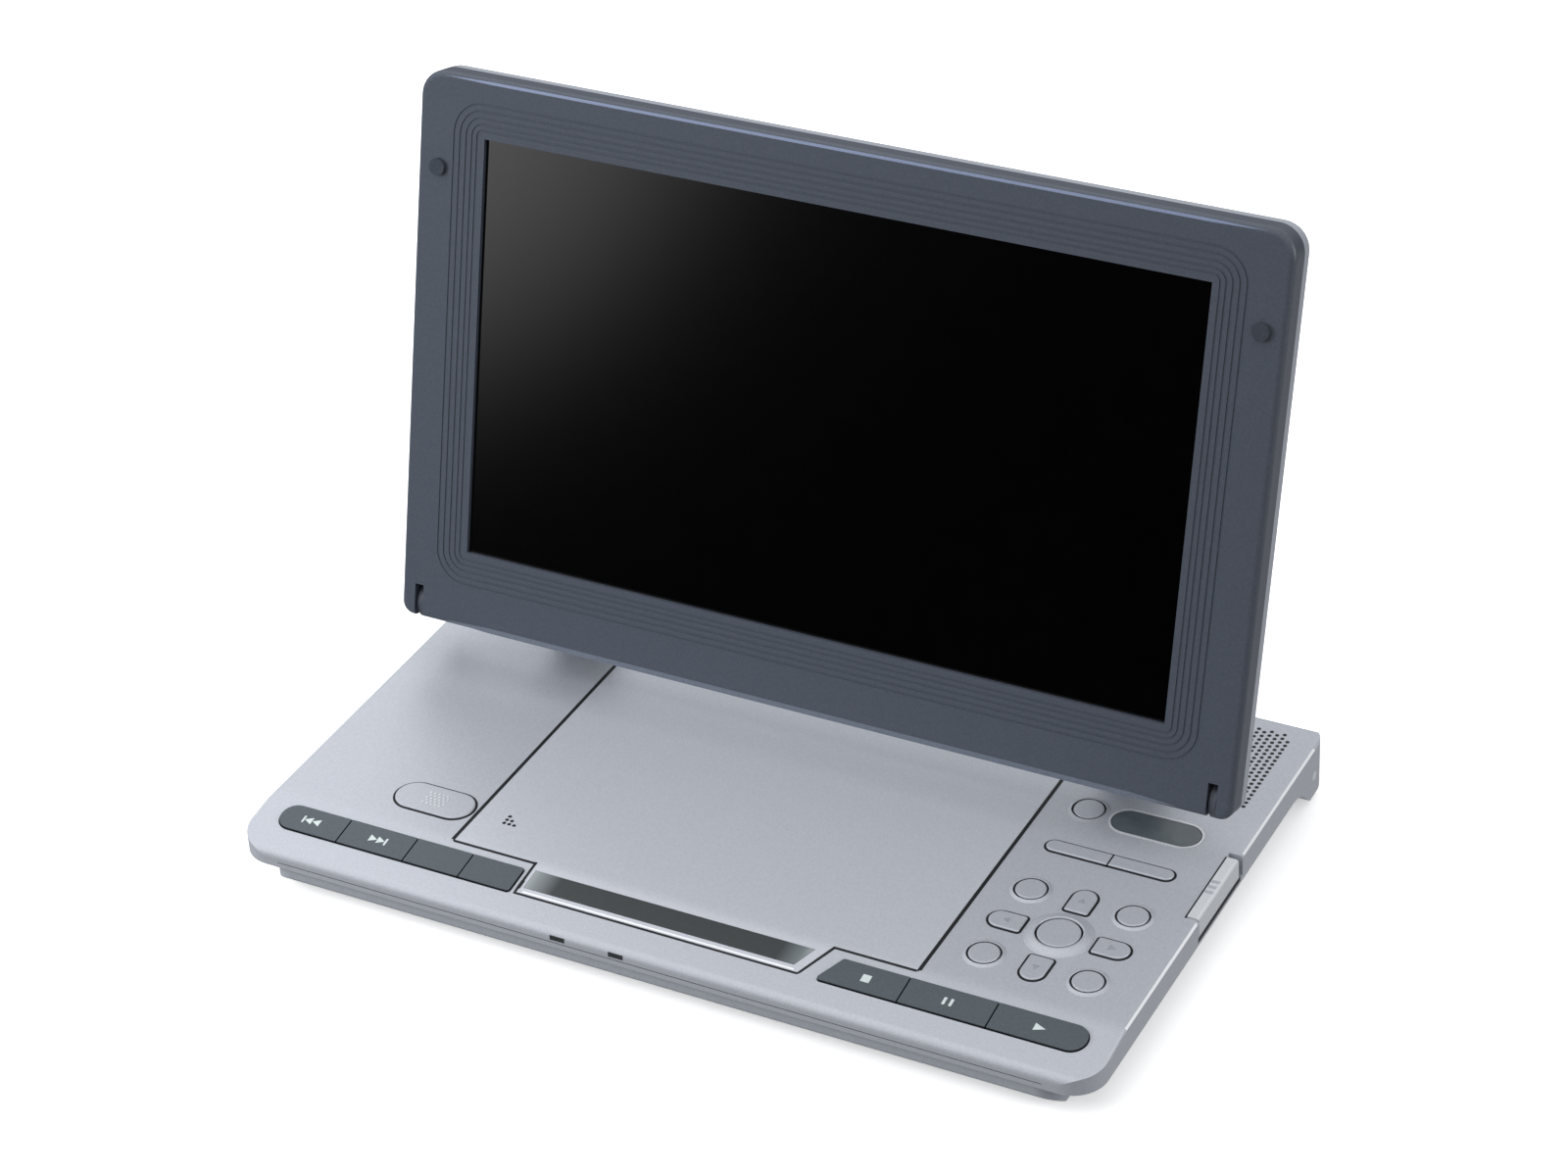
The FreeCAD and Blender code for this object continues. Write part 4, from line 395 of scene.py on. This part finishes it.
def pill_outline(low, high, grow):
    """Outline of a pill over a node's box, grown all round."""
    x0, x1 = low.x / MM - grow, high.x / MM + grow
    y0, y1 = low.y / MM - grow, high.y / MM + grow
    radius = (y1 - y0) / 2.0
    middle = (y0 + y1) / 2.0
    steps = 16
    points = []
    for centre, turn in ((x1 - radius, -0.5), (x0 + radius, 0.5)):
        for k in range(steps + 1):
            angle = math.pi * (turn + k / steps)
            points.append((centre + radius * math.cos(angle), middle + radius * math.sin(angle)))
    return points


def outline_of(node, above, grow):
    """Outline of a node's part above a height, seen from the top and grown all round."""
    closest = 0.02
    sharpest = 0.5
    points = [v.co.xy / MM for v in frame["nodes"][node].data.vertices if v.co.z > above * MM]
    hull = [points[i] for i in convex_hull_2d(points)]
    corners = [p for p, q in zip(hull, hull[1:] + hull[:1]) if (p - q).length > closest]
    count = len(corners)
    grown = []
    for k in range(count):
        before = (corners[k] - corners[k - 1]).normalized()
        after = (corners[(k + 1) % count] - corners[k]).normalized()
        out = Vector((before.y + after.y, -before.x - after.x)).normalized()
        share = max(sharpest, out.dot(Vector((after.y, -after.x))))
        grown.append(tuple(corners[k] + out * grow / share))
    return grown


def repeat_tree(finish, form):
    """Node tree that sets the same small form on every point of a mesh."""
    tree = bpy.data.node_groups.new(form + "_" + finish.name, "GeometryNodeTree")
    tree.interface.new_socket("Geometry", in_out="INPUT", socket_type="NodeSocketGeometry")
    for label, kind, value in (("Size", "NodeSocketVector", (MM, MM, MM)), ("Sides", "NodeSocketInt", 12)):
        tree.interface.new_socket(label, in_out="INPUT", socket_type=kind).default_value = value
    tree.interface.new_socket("Geometry", in_out="OUTPUT", socket_type="NodeSocketGeometry")
    given = add(tree, "NodeGroupInput")
    points = add(tree, "GeometryNodeMeshToPoints", {"Mesh": given.outputs["Geometry"]})
    if form == "studs":
        shape = add(tree, "GeometryNodeMeshCylinder",
                    {"Vertices": given.outputs["Sides"], "Radius": 0.5, "Depth": 1.0})
    else:
        shape = add(tree, "GeometryNodeMeshCube", {"Size": (1.0, 1.0, 1.0)})
    copies = add(tree, "GeometryNodeInstanceOnPoints", {
        "Points": points.outputs["Points"], "Instance": shape.outputs["Mesh"], "Scale": given.outputs["Size"]})
    solid = add(tree, "GeometryNodeRealizeInstances", {"Geometry": copies.outputs["Instances"]})
    painted = add(tree, "GeometryNodeSetMaterial",
                  {"Geometry": solid.outputs["Geometry"], "Material": finish})
    add(tree, "NodeGroupOutput", {"Geometry": painted.outputs["Geometry"]})
    return tree


def repeated(name, points, size, finish, body, form="studs", sides=12):
    """Studs, holes or bars of one size at points given in millimetres, as one piece."""
    seeds = bpy.data.meshes.new(name + "_points")
    seeds.from_pydata([Vector(p) * MM for p in points], [], [])
    holder = bpy.data.objects.new(name + "_holder", seeds)
    bpy.context.scene.collection.objects.link(holder)
    modifier = holder.modifiers.new("repeat", "NODES")
    modifier.node_group = repeat_tree(finish, form)
    values = {"Size": Vector(size) * MM, "Sides": sides}
    for item in modifier.node_group.interface.items_tree:
        if item.in_out == "INPUT" and item.name in values:
            modifier[item.identifier] = values[item.name]
    depsgraph = bpy.context.evaluated_depsgraph_get()
    mesh = bpy.data.meshes.new_from_object(holder.evaluated_get(depsgraph))
    bpy.data.objects.remove(holder)
    mesh.name = name
    piece(name, mesh, None, body)


# Speaker grilles

def grille(side):
    """Staggered columns of holes over the speaker of one side, drawn as flat black discs on the cover: their
    dark is painted shade.
    """
    low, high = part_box("speaker_right")
    pitch = 1.77
    columns = 10
    rows = 19
    hole = 1.12
    outer_x = high.x / MM
    front_y = low.y / MM - 0.2
    points = []
    for column in range(columns):
        shift = pitch / 2.0 if column % 2 else 0.0
        count = rows - 1 if column == 0 else rows
        for row in range(count):
            points.append((side * (outer_x - column * pitch), front_y + shift + row * pitch, TOP_Z))
    name = "grille_holes_right" if side > 0 else "grille_holes_left"
    repeated(name, points, (hole, hole, 2 * PRINT_T), BLACK_INK_AND_SHADE, "base", sides=8)


# Printed symbols

MARK_TALL = 2.3
SKIP_BAR, SKIP_BAR_X = 0.55, 2.6
SKIP_HEAD, SKIP_HEADS_X = 2.2, (1.2, -1.1)
STOP_X = 0.8
PAUSE_BAR, PAUSE_X = 0.75, 0.9
PLAY_HEAD = 2.9
ARROW_HEAD, ARROW_TALL = 1.7, 2.0


def flat_marks(name, outlines, surface, finish, body, thick=PRINT_T):
    """Flat marks on a surface given by its height: print, and also painted shade and painted highlights."""
    def build(bm):
        for outline in outlines:
            plate(bm, outline, surface, raised(surface, thick))
    piece(name, mesh_of(name, build), finish, body)


def bar(x, y, width, height):
    """A rectangle round its middle."""
    return [(x - width / 2, y - height / 2), (x + width / 2, y - height / 2),
            (x + width / 2, y + height / 2), (x - width / 2, y + height / 2)]


def wedge(x, y, width, height, turns=0):
    """A triangle that points towards +X, turned by quarter turns."""
    corners = [Vector((-width / 2, -height / 2)), Vector((width / 2, 0.0)), Vector((-width / 2, height / 2))]
    turn = Matrix.Rotation(math.pi / 2 * turns, 2)
    return [tuple(Vector((x, y)) + turn @ corner) for corner in corners]


def skip_mark(x, y, way):
    """Two triangles that point to a bar, towards +X for way 1 and towards -X for way -1."""
    turns = 0 if way > 0 else 2
    return [bar(x + way * SKIP_BAR_X, y, SKIP_BAR, MARK_TALL)] + [
        wedge(x + way * step, y, SKIP_HEAD, MARK_TALL, turns) for step in SKIP_HEADS_X]


def middle_of(node):
    """Middle of a node's box, seen from the top."""
    low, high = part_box(node)
    return (low.x + high.x) / 2 / MM, (low.y + high.y) / 2 / MM


def transport_marks():
    """Standard symbols on five keys of the strip, and arrows on the pad."""
    marks = {
        "previous": lambda x, y: skip_mark(x, y, -1),
        "next": lambda x, y: skip_mark(x, y, 1),
        "stop": lambda x, y: [bar(x + STOP_X, y, MARK_TALL, MARK_TALL)],
        "pause": lambda x, y: [bar(x + way * PAUSE_X, y, PAUSE_BAR, MARK_TALL) for way in (-1, 1)],
        "play": lambda x, y: [wedge(x, y, PLAY_HEAD, MARK_TALL)],
    }
    for name, draw in marks.items():
        outlines = draw(*middle_of("key_" + name))
        flat_marks("mark_" + name, outlines, raised(on_strip, KEY_PROUD), PALE_INK,
                "key_%s_body" % name)
    for turns, name in enumerate(ARROW_KEYS):
        x, y = middle_of(name)
        flat_marks("mark_" + name[4:], [wedge(x, y, ARROW_HEAD, ARROW_TALL, turns)],
                raised(on_panel, KEY_PROUD), GREY_INK, name + "_body")


def lid_dots():
    """A small triangle of dots in the lid's front left corner."""
    pitch = 1.45
    dot = 1.0
    x, y = -57.0, -41.6
    points = [(x + k * pitch, y - row * pitch, TOP_Z) for row in range(3) for k in range(row + 1)]
    repeated("lid_dots", points, (dot, dot, 2 * PRINT_T), BLACK_INK_AND_SHADE, "lid", sides=16)


# Small raised pieces of the base

def mound(node, inner, outer, height):
    """The panel swells round a key."""
    x, y = middle_of(node)
    rings = 8
    sides = 64
    angles = [2 * math.pi * k / sides for k in range(sides)]
    foot = TOP_Z - PRINT_T

    def build(bm):
        profile = [(inner, foot)]
        for ring in range(rings + 1):
            share = ring / rings
            swell = height * (0.5 + 0.5 * math.cos(math.pi * share))
            profile.append((inner + (outer - inner) * share, TOP_Z + swell))
        profile.append((outer, foot))
        loops = [[bm.verts.new((x + r * math.cos(a), y + r * math.sin(a), z)) for a in angles]
                 for r, z in profile]
        skin(bm, loops + loops[:1], smooth=True)
    piece("mound_" + node[4:], mesh_of("mound_" + node[4:], build), SILVER, "base")


def mounds():
    """A broad swelling round the enter key and narrow ones round the round keys."""
    mound("key_enter", inner=5.95, outer=8.7, height=1.0)
    for node in ROUND_KEYS:
        mound(node, inner=4.45, outer=5.4, height=0.42)


def label_rim():
    """A bright rim round the label."""
    low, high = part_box("source_label")
    gap, reach, proud = 0.3, 0.85, 0.2

    def build(bm):
        band(bm, pill_outline(low, high, gap), pill_outline(low, high, reach), TOP_Z - PRINT_T, TOP_Z + proud)
    piece("label_rim", mesh_of("label_rim", build), BRIGHT_SILVER, "base")


def key_gap_shade():
    """Painted shade in black round the keys on the flat panel, beside their gaps."""
    near, far = 0.06, 0.62

    def build(bm):
        for node in TOP_KEYS + ("open_button",):
            inner, outer = outline_of(node, TOP_Z, near), outline_of(node, TOP_Z, far)
            band(bm, inner, outer, TOP_Z - PRINT_T, TOP_Z + FLUSH)
    piece("key_gap_shade", mesh_of("key_gap_shade", build), BLACK_INK_AND_SHADE, "base")


def lid_gap_shade():
    """Painted shade in black along the gap round the lid and its tongue, on the edge of the cover beside it.
    """
    low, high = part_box("disc_lid")
    side, front, rear = high.x / MM, low.y / MM, high.y / MM
    thick, thin = 1.05, 0.7
    left, right, slant = -40.7, 38.0, 4.6           # the tongue's sides; the right one slants
    clear, front_clear, slant_clear = 0.06, 0.04, 0.08
    mitre, slant_end, crease_clear = 0.3, CREASE_Y - 0.5, 0.1
    near, far = front - front_clear, front - thin
    outlines = [[(s * (side + clear), CREASE_Y), (s * (side + thick), CREASE_Y),
                 (s * (side + thick), rear), (s * (side + clear), rear)] for s in (-1, 1)]
    outlines.append([(left - thin, far), (right + mitre, far), (right, near), (left - thin, near)])
    outlines.append(bar(left - clear - thin / 2, (front + CREASE_Y) / 2, thin, CREASE_Y - front))
    edge = right + slant_clear
    outlines.append([(edge, near), (edge + thin, near),
                     (edge + slant + thin, slant_end), (edge + slant, slant_end)])
    for start, end in ((-side, left), (right + slant, side)):
        outlines.append(bar((start + end) / 2, CREASE_Y - crease_clear - thin / 2, end - start, thin))
    flat_marks("lid_gap_shade", outlines, raised(on_cover, -FLUSH), BLACK_INK_AND_SHADE, "base")


def switch_gap_shade():
    """Painted shade in black round the power switch, on the panel and on the side, where its gaps are."""
    low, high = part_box("power_switch")
    inner, under = low.x / MM, low.z / MM
    middle, length = (low.y + high.y) / 2 / MM, (high.y - low.y) / MM
    inset, wide, longer = 0.4, 0.45, 0.8
    side_low, side_high, side_longer = 1.3, 0.1, 1.6

    def build(bm):
        plate(bm, bar(inner - inset, middle, wide, length + longer),
              raised(on_panel, -PRINT_T), raised(on_panel, FLUSH))
        plate(bm, bar(SIDE_X, middle, 2 * SIDE_PRINT_T, length + side_longer),
              level(under - side_low), level(under - side_high))
    piece("switch_gap_shade", mesh_of("switch_gap_shade", build), BLACK_INK_AND_SHADE, "base")


def front_seam():
    """The fine joint line below the lip of the top cover."""
    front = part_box("top_cover")[0].y / MM
    length, height, tall = 213.0, 10.05, 0.16
    flat_marks("front_seam", [bar(0.0, front, length, 2 * SIDE_PRINT_T)], level(height), BLACK_INK_AND_SHADE,
            "base", tall)


def cover_edge_highlights():
    """A painted highlight along the bevel of the top cover's sides.
    On the right it leaves room for the power switch and its travel."""
    bevel = 0.5
    lift = SIDE_PRINT_T
    front, rear = -65.5, 66.0
    room, travel = 1.2, 2.0
    switch_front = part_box("power_switch")[0].y / MM - room
    switch_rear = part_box("power_switch")[1].y / MM + travel + room
    runs = ((1, (front, CREASE_Y, switch_front)), (1, (switch_rear, rear)), (-1, (front, CREASE_Y, rear)))

    def build(bm):
        for side, stations in runs:
            sections = []
            for y in stations:
                top = on_cover(SIDE_X, y)
                section = ((SIDE_X - bevel, top + lift), (SIDE_X + lift, top - bevel),
                           (SIDE_X - lift, top - bevel - lift), (SIDE_X - bevel - lift, top - lift))
                sections.append([(side * x, y, z) for x, z in section])
            closed(bm, sections)
    piece("cover_edge_highlights", mesh_of("cover_edge_highlights", build), HIGHLIGHT_SILVER, "base")


def tongue_lip_highlight():
    """A painted highlight on the lip of the lid's tongue, in front of the dark strip."""
    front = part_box("disc_lid")[0].y / MM
    middle, inset, length, wide = -1.3, 0.6, 76.0, 0.5
    flat_marks("tongue_lip_highlight", [bar(middle, front + inset, length, wide)], on_strip, HIGHLIGHT_SILVER,
            "lid", SIDE_PRINT_T)


def on_screen(x, depth, up):
    """A point of the screen, from its lower front edge, in the frame of the object."""
    turn = Matrix.Rotation(-SCREEN_LEAN, 3, "X")
    return SCREEN_FOOT + turn @ Vector((x, depth, up))


def bezel_edge(name, half, up, tall, finish):
    """A painted highlight along a front edge of the frame, running out to a point at both ends."""
    tip = 14.0
    sunk, proud = 0.02, -0.03
    outline = ((-half, up), (tip - half, up - tall / 2), (half - tip, up - tall / 2),
               (half, up), (half - tip, up + tall / 2), (tip - half, up + tall / 2))

    def build(bm):
        closed(bm, [[on_screen(x, depth, u) for x, u in outline] for depth in (sunk, proud)])
    piece(name, mesh_of(name, build), finish, "screen")


def bezel_edges():
    """Painted highlights: a faint one on the lower edge, a brighter one on the upper edge."""
    bezel_edge("bezel_lower_edge_highlight", half=106.0, up=1.0, tall=1.4, finish=LOWER_EDGE_HIGHLIGHT)
    bezel_edge("bezel_upper_edge_highlight", half=112.0, up=148.1, tall=0.75, finish=UPPER_EDGE_HIGHLIGHT)


def button_studs():
    """Five staggered rows of studs on the open button."""
    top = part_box("open_button")[1].z / MM
    x, y = middle_of("open_button")
    pitch = 1.25
    row_pitch = pitch * 0.87
    stud, tall = 0.64, 0.3
    points = []
    for row in range(-2, 3):
        shift = pitch / 2.0 if row % 2 else 0.0
        for column in range(-2, 3):
            points.append((x + column * pitch + shift, y + row * row_pitch, top))
    repeated("open_button_studs", points, (stud, stud, tall), BRIGHT_SILVER, "open_button_body")


def switch_ridges():
    """Three ridges across the power switch."""
    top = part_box("power_switch")[1].z / MM
    x, y = middle_of("power_switch")
    pitch, inset = 2.2, 0.3
    ridge = (2.0, 0.8, 0.5)
    points = [(x - inset, y + k * pitch, top) for k in (-1, 0, 1)]
    repeated("switch_ridges", points, ridge, SILVER, "power_switch_body", form="bars")


def latch_opening_shade():
    """Painted shade: a black patch for the dark opening beside the tongue, where the lid's latch looks
    through.
    """
    x, y, width, height = -41.0, -63.6, 1.0, 2.8
    flat_marks("latch_opening_shade", [bar(x, y, width, height)], on_strip, BLACK_INK_AND_SHADE, "base")


def foot_marks():
    """Small round plugs in the ends of the foot."""
    y, z = 66.0, 7.4
    radius = 1.3
    sides = 24

    def build(bm):
        for side in (-1, 1):
            turn = Matrix.Translation((side * SIDE_X, y, z)) @ Matrix.Rotation(math.pi / 2, 4, "Y")
            bmesh.ops.create_cone(bm, cap_ends=True, segments=sides, radius1=radius, radius2=radius,
                                  depth=2 * SIDE_PRINT_T, matrix=turn)
    piece("foot_marks", mesh_of("foot_marks", build), BRIGHT_SILVER, "base")


# Stage, light and camera

FLOOR_HALF = 6000.0
COOL_TINT = (0.975, 0.99, 1.0)
WALL_STOPS = ((0.0, 0.5), (0.3, 0.42), (0.42, 0.005), (0.5, 0.005), (0.6, 0.5), (0.75, 0.95), (1.0, 1.5))
ROOM_STOPS = ((0.0, 0.2), (0.48, 0.24), (0.56, 0.42), (1.0, 0.74))
GLOW_AIM = Vector((-0.545, -0.838, 0.02)).normalized()
GLOW_OUTER, GLOW_INNER = math.radians(7.6), math.radians(2.0)
GLOW_STRENGTH = 2.4


def stage():
    """A pale floor that shows only to the camera."""
    mesh = mesh_of("floor", lambda bm: bmesh.ops.create_grid(bm, x_segments=1, y_segments=1, size=FLOOR_HALF))
    floor = bpy.data.objects.new("floor", mesh)
    bpy.context.scene.collection.objects.link(floor)
    material, _, shader = finish_of("pale_floor", Roughness=0.9, Emission_Strength=0.35)
    shader.inputs["Base Color"].default_value = linear("#f8f8f8")
    shader.inputs["Emission Color"].default_value = linear("#ffffff")
    mesh.materials.append(material)
    floor.visible_glossy = False
    floor.visible_diffuse = False


def grey_ramp(tree, factor, stops):
    """A ramp through (position, brightness) stops, a little blue."""
    ramp = add(tree, "ShaderNodeValToRGB", {"Fac": factor})
    elements = ramp.color_ramp.elements
    for position, value in stops:
        element = elements[0] if position == stops[0][0] else elements.new(position)
        element.position = position
        element.color = tuple(value * share for share in COOL_TINT) + (1.0,)
    elements.remove(elements[-1])
    elements[-1].position = stops[-1][0]
    return ramp.outputs["Color"]


def sky():
    """Soft room light. Mirrors see darker walls at eye height, a pale ground, a bright ceiling and one
    soft glow, which the panel shows in its upper left. The camera sees a white backdrop."""
    world = bpy.data.worlds.new("studio")
    world.use_nodes = True
    bpy.context.scene.world = world
    tree = world.node_tree
    tree.nodes.remove(tree.nodes["Background"])
    place = add(tree, "ShaderNodeTexCoord")
    split = add(tree, "ShaderNodeSeparateXYZ", {"Vector": place.outputs["Generated"]})
    height = add(tree, "ShaderNodeMapRange", {"Value": split.outputs["Z"], "From Min": -1.0, "From Max": 1.0})
    walls = grey_ramp(tree, height.outputs["Result"], WALL_STOPS)
    room = grey_ramp(tree, height.outputs["Result"], ROOM_STOPS)
    facing = add(tree, "ShaderNodeVectorMath", {0: place.outputs["Generated"], 1: GLOW_AIM},
                 operation="DOT_PRODUCT")
    glow = add(tree, "ShaderNodeMapRange", {
        "Value": facing.outputs["Value"], "From Min": math.cos(GLOW_OUTER),
        "From Max": math.cos(GLOW_INNER), "To Max": GLOW_STRENGTH}, interpolation_type="SMOOTHSTEP")
    mirrored = mixed(tree, 1.0, walls, glow.outputs["Result"], blend="ADD")
    soft, sharp, backdrop = [
        add(tree, "ShaderNodeBackground", {"Color": colour, "Strength": 1.0}).outputs["Background"]
        for colour in (room, mirrored, (1.0, 1.0, 1.0, 1.0))]
    path = add(tree, "ShaderNodeLightPath")
    lit = add(tree, "ShaderNodeMixShader", {"Fac": path.outputs["Is Glossy Ray"], 1: soft, 2: sharp})
    seen = add(tree, "ShaderNodeMixShader", {
        "Fac": path.outputs["Is Camera Ray"], 1: lit.outputs["Shader"], 2: backdrop})
    tree.links.new(seen.outputs["Shader"], tree.nodes["World Output"].inputs["Surface"])


def lamp(name, place, aim, size, power, glossy):
    """A round softbox, in metres and watts; mirrors see it only where glossy says so."""
    data = bpy.data.lights.new(name, "AREA")
    data.shape = "DISK"
    data.size = size
    data.energy = power
    light = bpy.data.objects.new(name, data)
    bpy.context.scene.collection.objects.link(light)
    light.location = place
    light.rotation_mode = "QUATERNION"
    light.rotation_quaternion = (Vector(aim) - Vector(place)).to_track_quat("-Z", "Y")
    light.visible_glossy = glossy


def lamps():
    """Softboxes: from the front left, from above, from behind on the left, and from the right."""
    lamp("key_softbox", place=(-0.68, -0.5, 0.42), aim=(-0.06, -0.03, 0.06), size=0.6, power=7.2, glossy=False)
    lamp("top_softbox", place=(-0.35, 0.0, 1.5), aim=(0, 0, 0.03), size=1.2, power=5.0, glossy=False)
    lamp("back_softbox", place=(-0.6, 0.75, 0.8), aim=(-0.08, 0.03, 0.03), size=0.6, power=4.5, glossy=False)
    lamp("side_softbox", place=(1.1, 0.1, 0.35), aim=(0.1, 0.0, 0.05), size=0.5, power=3.6, glossy=True)


def camera():
    """The camera of the photograph."""
    data = bpy.data.cameras.new("camera")
    data.lens = CAMERA_LENS
    data.sensor_width = SENSOR_WIDTH
    eye = bpy.data.objects.new("camera", data)
    bpy.context.scene.collection.objects.link(eye)
    eye.location = CAMERA_PLACE
    eye.rotation_mode = "QUATERNION"
    eye.rotation_quaternion = CAMERA_AIM.to_track_quat("-Z", "Y") @ Quaternion((0, 0, 1), CAMERA_ROLL)
    bpy.context.scene.camera = eye


dress_nodes()
grille(1)
grille(-1)
transport_marks()
lid_dots()
mounds()
label_rim()
key_gap_shade()
lid_gap_shade()
switch_gap_shade()
front_seam()
cover_edge_highlights()
tongue_lip_highlight()
bezel_edges()
button_studs()
switch_ridges()
latch_opening_shade()
foot_marks()
stage()
sky()
lamps()
camera()
bpy.context.scene.view_settings.view_transform = "Standard"
